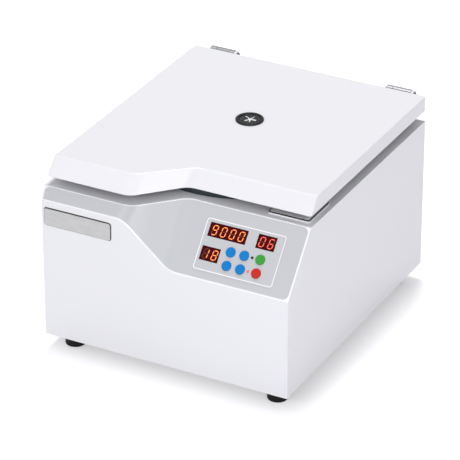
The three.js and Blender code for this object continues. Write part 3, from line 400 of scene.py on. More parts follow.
# Polycarbonate membrane with a fine matt texture, a little smoother than the coat round it
overlayFilm = makeMaterial("polycarbonate_film", "#c8cacf", 0.38, size=0.6, depth=0.004, gloss=0.04, IOR=1.58)
# Gloss white along the folds, brighter than the satin coat: a painted highlight on the sheet's white rim
rimHighlightPaint = makeMaterial("painted_highlight_white", "#fdfdff", 0.22, size=1.4, depth=0.006, gloss=0.03, IOR=1.5)
whiteInk = makeMaterial("screen_printed_white_ink", "#fbfbfd", 0.5, size=0.4, depth=0.003, gloss=0.03, IOR=1.5)
# Filter window of a LED display: deep red, glossy, nearly black where nothing is lit
displayFilter = makeMaterial("red_tinted_acrylic", "#4a0509", 0.25, size=6, tone=0.12, IOR=1.49,
                             Specular_IOR_Level=0.12)
# Lit bars glow orange or red round a paler core, and unlit ones stay a dull dark red
litSegment = makeBar("lit_led_segment", "#8a1c08", "#e0401a", 0.75)
litCore = makeBar("lit_led_core", "#9a4a20", "#ffb868", 1.1, 0.08)
redSegment = makeBar("lit_red_led_segment", "#8a0c0c", "#e02a20", 0.75)
redCore = makeBar("lit_red_led_core", "#9a2a20", "#ff8a70", 1.0, 0.08)
darkSegment = makeBar("unlit_led_segment", "#5c2a26", "#000000", 0)
blueKey = makeCap("blue_moulded_abs", "#0080cf")
greenKey = makeCap("green_moulded_abs", "#3fa23a")
redKey = makeCap("red_moulded_abs", "#cf2a22")
# Epoxy lamp lenses: smooth and glossy, one lit from inside
redLamp = makeMaterial("lit_red_epoxy_led", "#e8645c", 0.25, size=1.2, tone=0.05, IOR=1.5,
                       Emission_Color="#ff7a70", Emission_Strength=0.3)
darkLamp = makeMaterial("unlit_smoked_epoxy_led", "#0c0a0a", 0.2, size=1.2, tone=0.1, IOR=1.5)
# Aluminium brushed along X: long fine streaks that stretch the reflections
brushedPlate = makeMaterial("brushed_aluminium_sheet", "#bdbdbd", 0.36, 0.85, size=(16, 5, 5), depth=0.012,
                            tone=0.16, gloss=0.14)
satinPlate = makeMaterial("satin_stainless_sheet", "#f2f2f4", 0.36, 0.15, size=(20, 0.6, 0.6), depth=0.004, tone=0.03,
                          gloss=0.06)
machinedAluminium = makeMaterial("turned_aluminium", "#c4c5c7", 0.3, 1.0, size=(0.7, 1, 1), depth=0.008, tone=0.05,
                                 gloss=0.08, turned=True)
stainless = makeMaterial("spun_stainless_steel", "#b4b5b8", 0.27, 1.0, size=(1.1, 1, 1), depth=0.006, tone=0.05,
                         gloss=0.07, turned=True)
# Zinc plate over pressed steel: soft grey with faint cloudy crystals
zincPlate = makeMaterial("zinc_plated_steel", "#a6a7aa", 0.4, 0.85, size=3.5, depth=0.01, tone=0.08, gloss=0.1)
polishedSteel = makeMaterial("polished_steel", "#dcdddf", 0.12, 1.0, size=4, tone=0.03, gloss=0.03)
# Bright steel for the star under the sight window: a painted highlight
highlightSteel = makeMaterial("bright_steel_painted_highlight", "#f4f4f6", 0.3, 0.5, size=3, tone=0.03, gloss=0.05)
# Rubber: matt and slightly mottled, with a fine pitted skin
blackRubber = makeMaterial("moulded_black_rubber", "#0b0b0c", 0.7, size=0.9, depth=0.02, tone=0.15, gloss=0.08,
                           Specular_IOR_Level=0.25)
sealRubber = makeMaterial("silicone_seal_rubber", "#1d2a30", 0.55, size=0.9, depth=0.015, tone=0.12, gloss=0.08)
blackPlastic = makeMaterial("black_moulded_nylon", "#1c1c1e", 0.45, size=0.7, depth=0.01, tone=0.1, gloss=0.06)
glossyBlack = makeMaterial("black_moulded_abs", "#121214", 0.34, size=0.7, depth=0.006, tone=0.08, gloss=0.05,
                           IOR=1.54, Specular_IOR_Level=0.35)
# Clear window with an anti-reflective coat: the low index stands for the coat, so that it mirrors little
clearGlass = makeMaterial("clear_coated_polycarbonate", "#f4f6f7", 0.03, size=8, gloss=0.01, IOR=1.2,
                          Transmission_Weight=1.0)
# Vacuum-formed ABS sheet, evenly satin; its mid grey is partly painted shade that darkens the gap under the lid
shadeGreyLiner = makeMaterial("grey_formed_abs_painted_shade", "#76797d", 0.45, size=0.8, depth=0.01, tone=0.06, gloss=0.05, IOR=1.54)
whiteNylon = makeMaterial("white_nylon_washer", "#ececee", 0.4, size=0.8, depth=0.006, tone=0.03, IOR=1.53)
darkSteel = makeMaterial("blackened_steel", "#4c4d50", 0.35, 0.9, size=1.5, depth=0.008, tone=0.15, gloss=0.08)
# Anodised aluminium: a thin even oxide skin that dulls the metal a little
anodised = makeMaterial("clear_anodised_aluminium", "#b3b6ba", 0.36, 0.85, size=1.2, depth=0.006, tone=0.05, gloss=0.06)
circuitBoard = makeMaterial("green_solder_mask", "#1d5a35", 0.35, size=2.0, depth=0.02, tone=0.2, gloss=0.08)
print("materials made")


# The front: ruled lines run from the top edge of the front face to the deck's front edge

def frontLine(x):
    y = -housing["halfDepth"]
    left, right = housing["frontLeft"], housing["frontRight"]
    return rounded([(-x, y, left), (-57, y, left), (7.5, y, right), (x, y, right)], housing["bendReach"], 8, False)


def deckLine(x):
    z = housing["height"]
    left, right = housing["deckLeft"], housing["deckRight"]
    return rounded([(-x, left, z), (-48, left, z), (4, right, z), (x, right, z)], housing["bendReach"], 8, False)


def slopeSkin(name, x, fromFront, fromDeck):  # the sloped surface between two lines, each this far from its edge
    low, high = [], []
    lines = list(zip(frontLine(x), deckLine(x)))
    middle = len(lines) // 2
    (frontA, deckA), (frontB, deckB) = lines[middle - 1], lines[middle]
    between = [(frontA.lerp(frontB, i / 7), deckA.lerp(deckB, i / 7)) for i in range(1, 7)]
    for front, deck in lines[:middle] + between + lines[middle:]:
        along = (deck - front).normalized()
        low.append(front + along * fromFront)
        high.append(deck - along * fromDeck)
    skin = joined(name, [drawLine(name, low), drawLine(name + "_upper", high)])
    edit(skin, "SELECT")
    bpy.ops.mesh.bridge_edge_loops()
    leave()
    return skin


def frontCutter():  # all that lies above and before the slope
    cutter = slopeSkin("front_cutter", housing["halfWidth"] + 6, -7, -7)
    edit(cutter, "SELECT")
    bpy.ops.mesh.extrude_region_move(TRANSFORM_OT_translate={"value": (0, -90, 90)})
    faceOut()
    leave()
    return cutter


# Housing of folded sheet: sides and front in one
def buildHousing():
    x, y, z = housing["halfWidth"], housing["halfDepth"], housing["height"]
    sheet, corner = housing["sheet"], housing["corner"]
    shell = addBlock("housing_sheet", (-x, -y, 0), (x, y, z))
    bevelAt(shell, "EDGE", corner, 5, lambda place, way: place.y < -y + 1 and abs(way.z) > 0.9)
    cutWith(shell, addBlock("hollow", (-x + sheet, -y + sheet, -6), (x - sheet, y + 6, z + 6)))
    cutWith(shell, frontCutter())

    def outside(place):  # on the outer skin: a side, the front or the corner between them
        pastX, pastY = abs(place.x) - x + corner, -place.y - y + corner
        return pastX > corner - 0.01 or pastY > corner - 0.01 or (
            pastX > 0 and pastY > 0 and math.hypot(pastX, pastY) > corner - 0.1)

    bevelAt(shell, "EDGE", housing["foldRadius"], 4,
            lambda place, way: place.z > 130 and outside(place) and abs(way.z) < 0.97, clamp=True)
    finishPiece(shell, whiteCoat, "housing_shell")


deck = {"sheet": 2, "hole": 141.5, "slot": (148, -95, 8, 26), "edge": 0.5}


def buildDeck():
    x, y, z = housing["halfWidth"] - housing["sheet"], housing["halfDepth"], housing["height"]
    plate = addBlock("deck", (-x, -y, z - deck["sheet"]), (x, y, z))
    hole = addRod("hole", (0, chamberY, z - 9), (0, chamberY, z + 9), deck["hole"], 128)
    cutWith(plate, hole, slab("slot", rectangle(*deck["slot"], 2), z - 9, z + 9))
    cutWith(plate, frontCutter())
    bevelAt(plate, "EDGE", deck["edge"], 3, lambda place, way: place.z > z - 0.01 and abs(place.x) < x - 1
            and abs(way.x) > 0.3 and place.y < (-183 if place.x < -55 else -131))
    finishPiece(plate, whiteCoat, "deck_plate")


def skinFacingOut(name, x, fromFront, fromDeck, corner=0):
    skin = slopeSkin(name, x, fromFront, fromDeck)
    edit(skin)
    if corner:  # all but the lower left one
        pick(skin, "VERT", lambda place, way: abs(place.x) > x - 0.1
             and (place.x > 0 or place.z > housing["frontLeft"] + 8))
        bpy.ops.mesh.bevel(offset=corner, segments=6, affect="VERTICES")
    faceOut()
    leave()
    faceUp(skin)
    return skin


# Sloped front sheet with a white rim, painted brighter than the coat as a highlight along the folds, and grey paint
# over the rest
fascia = {"side": 167.6, "fromFront": 3.2, "fromDeck": 0.2, "sheet": 2, "opening": (104, 61)}
rim = {"margins": (0.5, 0.5, 0.5), "corner": 0, "thickness": 0.12}  # from the side, the front and the deck
paint = {"margins": (2.3, 2.5, 1.1), "corner": 7, "thickness": 0.3}


def openPanel(skin):
    opening = slab("opening", rectangle(panel["x"], panel["s"], *fascia["opening"]), -7, 4)
    opening.data.transform(slopeFrame)
    cutWith(skin, opening)


def buildFascia():
    sheet = skinFacingOut("sloped_front_sheet", fascia["side"], fascia["fromFront"], fascia["fromDeck"])
    thicken(sheet, fascia["sheet"])
    openPanel(sheet)
    finishPiece(sheet, whiteCoat, "control_fascia")
    # the rim layer's brighter white is a painted highlight along the folds
    for name, coat, material, slot in (("white_rim_highlight_layer", rim, rimHighlightPaint, "white_enamel"),
                                       ("grey_front_paint", paint, greyCoat, "grey_enamel")):
        side, fromFront, fromDeck = coat["margins"]
        skin = skinFacingOut(name, housing["halfWidth"] - side, fromFront, fromDeck, coat["corner"])
        thicken(skin, coat["thickness"], 1)
        openPanel(skin)
        finishPiece(skin, material)


# Control panel, drawn flat: X along the slope, Y up it and Z out of it
panel = {
    "x": 90.2,
    "s": 45,
    "width": 107.5,
    "height": 65,
    "corner": 4,
    "filmBottom": 0.33,
    "filmTop": 0.8,
    "border": 1.3,
    "borderRise": 0.12,
}
windows = {
    "speed_display": {"x": 67.9, "s": 64, "width": 51.4, "reads": "9000"},
    "time_display": {"x": 120, "s": 64, "width": 25, "reads": "06", "red": True},
    "count_display": {"x": 53.3, "s": 33.8, "width": 25, "reads": "18"},
}
windowHeight = 17.9
keys = {
    "upper_left_key": (79, 42.3, blueKey, "blue_key", "key_upper_left"),
    "upper_middle_key": (97.4, 42.3, blueKey, "blue_key", "key_upper_middle"),
    "start_key": (119, 42.3, greenKey, "green_key", "key_start"),
    "lower_left_key": (79, 25, blueKey, "blue_key", "key_lower_left"),
    "lower_middle_key": (97.4, 25, blueKey, "blue_key", "key_lower_middle"),
    "stop_key": (119, 25, redKey, "red_key", "key_stop"),
}
lamps = {"upper": (108, 42.3), "lower": (108, 25)}


def buildOverlay():
    outline = rectangle(panel["x"], panel["s"], panel["width"], panel["height"], panel["corner"])
    film = slab("overlay", outline, panel["filmBottom"], panel["filmTop"])
    holes = [slab("hole", rectangle(w["x"], w["s"], w["width"], windowHeight, 0.7), -2, 4) for w in windows.values()]
    holes += [addRod("hole", (x, s, -2), (x, s, 4), 6.45) for x, s, *_ in keys.values()]
    holes += [addRod("hole", (x, s, -2), (x, s, 4), 1.8, 24) for x, s in lamps.values()]
    cutWith(film, *holes)
    softEdges(film, 0.12, 2)
    finishPiece(film, overlayFilm, "control_overlay", place=onSlope)

    border = fillOutline("overlay_border", lift(outline, panel["filmTop"] + 0.02))
    edit(border, "SELECT")
    bpy.ops.mesh.inset(thickness=panel["border"])
    bpy.ops.mesh.delete(type="FACE")
    leave()
    faceUp(border)
    thicken(border, panel["borderRise"], 1)
    finishPiece(border, whiteInk, place=onSlope)


digit = {
    "height": 13.2,
    "width": 7.5,
    "pitch": 12.0,
    "slant": math.tan(math.radians(8)),
    "bar": 1.55,
    "core": 0.85,
    "gap": 0.25,
    "face": -0.3,
}
segments = {  # middle of each bar as shares of half the width and half the height, and whether it stands upright
    "a": (0, 1, False), "b": (1, 0.5, True), "c": (1, -0.5, True), "d": (0, -1, False),
    "e": (-1, -0.5, True), "f": (-1, 0.5, True), "g": (0, 0, False),
}
numerals = {"0": "abcdef", "1": "bc", "6": "acdefg", "8": "abcdefg", "9": "abcdfg"}


def drawBar(length, width, rise):  # a bar with pointed ends
    x, y = length / 2, width / 2
    return slab("bar", [(-x, 0), (-x + y, -y), (x - y, -y), (x, 0), (x - y, y), (-x + y, y)], 0, rise)


def buildDisplays():
    spanX, spanY = digit["width"] - digit["bar"], digit["height"] - digit["bar"]
    bars = {}
    for upright, length in ((False, spanX - 2 * digit["gap"]), (True, spanY / 2 - 2 * digit["gap"])):
        bars[upright, False] = drawBar(length, digit["bar"], 0.08)
        bars[upright, True] = drawBar(length - 0.7, digit["core"], 0.14)
    lean = Matrix(((1, digit["slant"], 0, 0), (0, 1, 0, 0), (0, 0, 1, 0), (0, 0, 0, 1)))
    for name, window in windows.items():
        x, s, halfX, halfY = window["x"], window["s"], window["width"] / 2 + 0.6, windowHeight / 2 + 0.6
        block = addBlock(name + "_module", (x - halfX, s - halfY, -8.7), (x + halfX, s + halfY, digit["face"]))
        softEdges(block, 0.25, 2)
        finishPiece(block, displayFilter, name, place=onSlope)
        layers = {"lit": [], "core": [], "dark": []}
        first = x - (len(window["reads"]) - 1) / 2 * digit["pitch"]
        for i, numeral in enumerate(window["reads"]):
            for letter, (shareX, shareY, upright) in segments.items():
                place = moved(first + i * digit["pitch"], s, digit["face"]) @ lean @ moved(
                    shareX * spanX / 2, shareY * spanY / 2, 0) @ turnedBy(90 if upright else 0)
                for layer in ("lit", "core") if letter in numerals[numeral] else ("dark",):
                    bar = copyOf(bars[upright, layer == "core"], "bar")
                    bar.data.transform(place)
                    layers[layer].append(bar)
        lit, core = (redSegment, redCore) if "red" in window else (litSegment, litCore)
        for layer, material in (("lit", lit), ("core", core), ("dark", darkSegment)):
            if layers[layer]:
                finishPiece(joined(f"{name}_{layer}_bars", layers[layer]), material, place=onSlope)
    discard(*bars.values())


key = {"radius": 6.25, "flange": 7.25, "bottom": -3.3, "flangeTop": -2.3, "top": 2.2, "edge": 0.7, "dome": 0.25}


def buildKeys():
    radius, flange, bottom, flangeTop, top, edge, dome = key.values()
    cap = spinSolid("key", [(0, bottom), (flange, bottom), (flange, flangeTop), (radius, flangeTop),
                            (radius, top - dome), (radius - 1.6, top - 0.05), (0, top)], [0, 0, 0, 0, edge, 0.8, 0])
    for name, (x, s, material, slot, node) in keys.items():
        finishPiece(copyOf(cap, name, moved(x, s, 0)), material, node, name + "_body", onSlope)
    discard(cap)


def buildLamps():
    lens = spinSolid("lamp", [(0, -8.4), (1.6, -8.4), (1.6, 0.8), (1.15, 1.35), (0, 1.6)], [0, 0, 0.3, 0.4, 0], 24)
    for side, (x, s) in lamps.items():
        new = copyOf(lens, side + "_lamp", moved(x, s, 0))
        material = redLamp if side == "lower" else darkLamp
        finishPiece(new, material, "lamp_" + side, place=onSlope)
    discard(lens)


nameplate = {"left": -165.8, "right": -72.5, "low": 156.7, "high": 179.9, "back": -193.3, "front": -194.5,
             "corner": 3.6, "edge": 0.8, "shadowMargin": 0.75, "shadowShift": 0.2}


def buildNameplate():
    left, right, low, high, back, front, corner, edge, shadowMargin, shadowShift = nameplate.values()

    def outline(margin, y):
        wide, tall = right - left + 2 * margin, high - low + 2 * margin
        return acrossY(rectangle((left + right) / 2, (low + high) / 2, wide, tall, corner + margin), y)

    plate = fillOutline("bare_nameplate", outline(0, back), (0, front - back, 0))
    bevelAt(plate, "FACE", edge, 4, lambda place, way: way.y < -0.9)
    finishPiece(plate, brushedPlate, "blank_nameplate")
    # A black sheet behind the plate, a margin larger and shifted up and right: its edge shows round the plate as
    # painted shadow
    sheet = fillOutline("nameplate_painted_shadow", outline(shadowMargin, -193.02), (0, -0.5, 0))
    sheet.data.transform(moved(shadowShift, 0, shadowShift))
    finishPiece(sheet, blackRubber)


# Lid
lid = {
    "halfWidth": 167,
    "top": 238.5,
    "lip": 218.5,
    "back": 199.5,
    "topFront": (-163, -110.5),
    "topBend": (-53.5, 6),
    "lipFront": (-182.5, -127.5),
    "lipBend": (-51, 0.5),
    "corner": 3,
    "bend": 11,
    "edge": 1.7,
    "sheet": 1.5,
    "hole": 15.9,
}


def lidOutline(front, bend, height, margin=0.0):
    x, back, corner = lid["halfWidth"] - margin, lid["back"] - margin, lid["corner"]
    left, right = (value + margin for value in front)
    corners = [(-x, left), (bend[0], left), (bend[1], right), (x, right), (x, back), (-x, back)]
    return lift(rounded(corners, [corner, lid["bend"], lid["bend"], corner, corner, corner], 6), height)


def buildLid():
    shell = capped("lid", lidOutline(lid["lipFront"], lid["lipBend"], lid["lip"]),
                   lidOutline(lid["topFront"], lid["topBend"], lid["top"]), lid["top"], lid["edge"], 5)
    thicken(shell, lid["sheet"])
    softEdges(shell, 0.4, 2, 60)
    cutWith(shell, addRod("hole", (0, chamberY, 210), (0, chamberY, 250), lid["hole"], 64))
    finishPiece(shell, whiteCoat, "lid_shell", "lid")


sight = {"flange": 18, "low": 238.8, "top": 240.8, "tube": 15.5, "bottom": 214.8, "bore": 13.5, "ledge": 12.3,
         "ledgeTop": 237.1}
# Star under the sight window: its bright arms stand in for the light specks seen in the window, a painted highlight
star = {  # direction, length and width at the tip of each arm
    "arms": ((-30, 8, 3.6), (50, 8.5, 0.8), (125, 10, 1.4), (215, 8, 3.6), (263, 9, 0.9)),
    "turn": 27.8,
    "root": 2.8,
    "y": chamberY + 1.5,
    "z": 238.1,
    "sheet": 0.5,
    "dome": 0.95,
}


def buildSightGlass():
    flange, low, top, tube, bottom, bore, ledge, ledgeTop = sight.values()
    outline = [(ledge, bottom), (tube, bottom), (tube, low), (flange, low), (flange, top - 0.8), (flange - 0.9, top),
               (bore + 1.2, top), (bore, top - 0.9), (bore, ledgeTop), (ledge, ledgeTop)]
    ring = spinOutline("sight_ring", rounded(outline, [0, 0, 0, 0.3, 0.3, 0.3, 0.3, 0.2, 0, 0], 3), steps=72)
    finishPiece(ring, glossyBlack, "sight_bezel", "lid")
    edge = bore - 0.3
    lens = rounded([(0, low + 0.4), (edge, low + 0.4), (edge, top - 0.8), (0, top - 0.5)], [0, 0.2, 0.3, 0], 3)
    finishPiece(spinOutline("sight_window", lens, closed=False), clearGlass, "sight_lens", "lid")

    root, sheet = star["root"], star["sheet"]
    highlightStar = spinSolid("sight_star_painted_highlight", [(0, 0), (root, 0), (root, sheet), (0, star["dome"])], [0, 0, 0.3, 0], 32)
    for angle, reach, tip in star["arms"]:
        arm = slab("arm", [(0, -1), (reach, -tip / 2), (reach, tip / 2), (0, 1)], 0, sheet)
        arm.data.transform(turnedBy(angle + star["turn"]))
        uniteWith(highlightStar, arm)
    softEdges(highlightStar, 0.15, 2)
    highlightStar.data.transform(moved(0, star["y"], star["z"]))
    finishPiece(highlightStar, highlightSteel, body="lid")


gasket = {"inner": 143, "outer": 155, "skirt": 149.5, "rim": 208.3, "low": 206.8, "top": 214.5}


def buildGasket():
    inner, outer, skirt, rim, low, top = gasket.values()
    outline = [(skirt, low), (outer, low), (outer, top), (150.4, top), (149, top - 1.6), (147.6, top), (inner, top),
               (inner, rim), (skirt, rim)]
    ring = spinOutline("chamber_seal", rounded(outline, [0, 0.6, 2.5, 0.9, 0.8, 0.9, 2.5, 0.4, 0], 4), steps=128)
    finishPiece(ring, sealRubber, "chamber_gasket", smooth=50)


lock = {"x": 134.5, "y": -95, "size": 53, "plateLow": 208.3, "plateTop": 209.8, "sealLow": 208, "sealTop": 209.5,
        "lip": 0.8, "land": 1.6, "ring": 155.3}


def buildLockPlate():
    def square(name, margin, low, high, corner):
        side = lock["size"] + 2 * margin
        return slab(name, rectangle(lock["x"], lock["y"], side, side, corner), low, high)

    plate = square("lock_striker_plate", 0, lock["plateLow"], lock["plateTop"], 1.6)
    tray = square("lock_plate_seal", lock["lip"], lock["sealLow"], lock["sealTop"], 2.4)
    cutWith(tray, square("hollow", 0.05, lock["plateLow"] - 0.2, 220, 1.6))
    land = square("pressed_land", lock["land"], housing["height"] - 0.4, lock["sealLow"] - 0.02, 3)
    for piece, material, slot, node in ((plate, satinPlate, "stainless_steel", "lock_plate"),
                                        (tray, blackRubber, "black_rubber", "lock_seal"),
                                        (land, whiteCoat, "white_enamel", None)):
        ring = addRod("ring", (0, chamberY, 200), (0, chamberY, 220), lock["ring"], 128)
        cutWith(piece, ring, slab("opening", rectangle(*deck["slot"], 2.5), 200, 220))
        softEdges(piece, 0.25, 2)
        finishPiece(piece, material, node)


# Feet: rubber, with a recess underneath for a sunk screw
foot = {"x": 143, "y": 164.5, "radius": 13.6, "low": -21, "top": -0.3, "neck": 4, "head": 5.8, "screwTop": -18.2}


def buildFeet():
    x, y, radius, low, top, neck, head, screwTop = foot.values()
    rubber = spinSolid("foot", [(0, screwTop), (3.6, screwTop), (3.6, low), (radius - 0.4, low), (radius, top),
                                (neck, top), (neck, 2.3), (head, 2.3), (neck, 5.3), (0, 5.3)],
                       [0, 0, 0.5, 2.4, 1.2, 0, 0, 0.3, 0.3, 0])
    for row, sideY in (("front", -y), ("rear", y)):
        for side, sideX in (("left", -x), ("right", x)):
            name = f"foot_{row}_{side}"
            new = copyOf(rubber, "rubber_" + name, moved(sideX, sideY, 0))
            finishPiece(new, blackRubber, name)
    discard(rubber)


# Cross-head screw, modelled once: its head is a dome over z = 0
screw = {"radius": 3.1, "rise": 1.5, "slot": 0.75, "slotLength": 2.0, "slotDepth": 1.0}


def makeScrew():
    radius, rise, slot, reach, depth = screw.values()
    head = spinSolid("screw", [(0, -0.8), (radius, -0.8), (radius, 0.5), (0, rise)], [0, 0, 0.8, 0], 24)
    for x, y in ((slot / 2, reach), (reach, slot / 2)):
        cutWith(head, addBlock("cross", (-x, -y, rise - depth), (x, y, 3)))
    return head


def placeScrews(name, places, axis, body="housing"):  # places are where the heads rest, axis the way that they face
    turn = Vector(axis).to_track_quat("Z", "Y").to_matrix().to_4x4()
    heads = [copyOf(screwHead, "screw", moved(*place) @ turn) for place in places]
    finishPiece(joined(name, heads), zincPlate, body=body)


# Rear panel with pressed louvres over its slots
rear = {"halfWidth": 167.7, "low": 2.3, "high": 204.2, "front": 191, "back": 193, "slotWidth": 62, "slotHeight": 4,
        "pitch": 10, "count": 8, "x": 95, "z": 123, "hoodRise": 3.4, "hoodHeight": 6.4,
        "opening": (15.3, 24.3)}  # half the width and height of the inlet's opening


def buildRearPanel():
    half, back, wide = rear["halfWidth"], rear["back"], rear["slotWidth"]
    sheet = addBlock("rear_sheet", (-half, rear["front"], rear["low"]), (half, back, rear["high"]))
    x, z, (roomX, roomZ) = inlet["x"], inlet["z"], rear["opening"]
    tools, hoods = [addBlock("opening", (x - roomX, 180, z - roomZ), (x + roomX, 200, z + roomZ))], []
    low, high = -rear["hoodHeight"] / 2, rear["hoodHeight"] / 2
    profile = rounded([(back, low), (back + rear["hoodRise"], low), (back, high)], [0, 1.2, 0], 6, False)
    hood = fillOutline("hood", acrossX(profile, -wide / 2 - 2), (wide + 4, 0, 0))
    bevelAt(hood, "FACE", 0.9, 3, lambda place, way: abs(way.x) > 0.9)
    for row in range(rear["count"]):
        z = rear["z"] + (row - (rear["count"] - 1) / 2) * rear["pitch"]
        for x in (-rear["x"], rear["x"]):
            tools.append(fillOutline("slot", acrossY(rectangle(x, z, wide, rear["slotHeight"], 1.9), 180), (0, 20, 0)))
            hoods.append(copyOf(hood, "hood", moved(x, 0, z + 1.6)))
    cutWith(sheet, *tools)
    softEdges(sheet, 0.3, 2)
    finishPiece(sheet, whiteCoat, "rear_panel")
    finishPiece(joined("louvre_hoods", hoods), whiteCoat)
    discard(hood)
    places = [(x, back, z) for x in (-158, 158) for z in (14, 74, 134, 192)] + [(x, back, 192) for x in (-52, 52)]
    placeScrews("rear_panel_screws", places, (0, 1, 0))


# Power inlet: socket below, fuse drawer in the middle, rocker above
inlet = {
    "x": 105,
    "z": 52,
    "width": 48,
    "height": 60,
    "face": 195.8,
    "thickness": 2.5,
    "socket": (39.5, 24.4, 16.6, 4.6, 16),  # z, width, height, cut corners and depth
    "drawer": (55.4, 22, 7),  # z, width and height
    "rocker": (68, 21, 12),
    "tilt": 8,
    "blades": ((-7, -2), (7, -2), (0, 2)),  # from the middle of the socket
}


def buildInlet():
    x, z, face = inlet["x"], inlet["z"], inlet["face"]
    drawerZ, drawerWidth, drawerHeight = inlet["drawer"]
    rockerZ, rockerWidth, rockerHeight = inlet["rocker"]
    flange = fillOutline("inlet_flange", acrossY(rectangle(x, z, inlet["width"], inlet["height"], 4), face),
                         (0, -inlet["thickness"], 0))
    uniteWith(flange, addBlock("body", (x - 15, face - 28, z - 24), (x + 15, face - 1, z + 24)))
    socketZ, wide, high, cut, depth = inlet["socket"]
    low, high, left, right = socketZ - high / 2, socketZ + high / 2, x - wide / 2, x + wide / 2
    mouth = rounded([(left, low), (right, low), (right, high - cut), (right - cut, high), (left + cut, high),
                     (left, high - cut)], 1.2, 3)
    for hollow, deep in (
            (mouth, depth),
            (rectangle(x, drawerZ, drawerWidth + 0.6, drawerHeight + 0.6), 12.3),
            (rectangle(x, rockerZ, rockerWidth + 1.2, rockerHeight + 0.6), 7.5)):
        cutWith(flange, fillOutline("room", acrossY(hollow, face - deep), (0, 30, 0)))
    softEdges(flange, 0.35, 2)
    finishPiece(flange, blackPlastic, "power_inlet")
    blades = []
    for bladeX, bladeZ in inlet["blades"]:
        atX, atZ = x + bladeX, socketZ + bladeZ
        blades.append(addBlock("blade", (atX - 1, face - 16, atZ - 2), (atX + 1, face - 3, atZ + 2)))
        softEdges(blades[-1], 0.5, 2)
    finishPiece(joined("inlet_blades", blades), polishedSteel)

    wide, high = drawerWidth / 2, drawerHeight / 2
    drawer = addBlock("fuse_tray", (x - wide, face - 12, drawerZ - high), (x + wide, face + 1, drawerZ + high))
    cutWith(drawer, addRod("grip", (x - 5, face + 1.6, drawerZ + high), (x + 5, face + 1.6, drawerZ + high), 1.8, 24))
    softEdges(drawer, 0.4, 2)
    finishPiece(drawer, blackPlastic, "fuse_drawer", "drawer_body")

    half, rise = rockerWidth / 2, 1.6
    slant = half * math.tan(math.radians(inlet["tilt"]))
    profile = rounded([(-half, slant - 5), (half, slant - 5), (half, rise + slant), (0, rise), (-half, rise + slant)],
                      [0, 0, 0.6, 5, 0.6], 6)
    rocker = slab("mains_rocker", profile, -rockerHeight / 2, rockerHeight / 2)
    softEdges(rocker, 0.4, 2, 50)
    tilt = toFrame @ moved(x, face - rise, rockerZ) @ turnedBy(inlet["tilt"])
    finishPiece(rocker, blackPlastic, "power_rocker", "rocker_body", tilt)
    bar = addBlock("rocker_bar_mark", (-0.35, 0, -2), (0.35, 0.12, 2))
    softEdges(bar, 0.05, 1)
    ring = spinOutline("rocker_ring_mark", [(1.6, 0), (2.2, 0), (2.2, 0.12), (1.6, 0.12)], (0, 0), 24)
    ring.data.transform(Matrix.Rotation(-math.pi / 2, 4, "X"))
    for mark, side in ((bar, 1), (ring, -1)):
        at = side * half * 0.55
        lean = math.atan2(side * slant, half)
        mark.data.transform(moved(at, rise + at * math.tan(lean) + 0.02, 0) @ turnedBy(math.degrees(lean)))
        finishPiece(mark, whiteInk, body="rocker_body", place=tilt)
    placeScrews("inlet_screws", [(x - 19.5, face, z), (x + 19.5, face, z)], (0, 1, 0))


# Hinges behind the lid
hinge = {"x": 127.5, "y": 207.3, "z": 231, "length": 38, "knuckle": 9.5, "radius": 7, "pin": 3, "leaf": 2.2,
         "leafLow": 168.5, "face": 193.3, "shoulder": 204, "plateFace": 199.8, "plateLow": 221, "plateHigh": 236,
         "washer": 3}


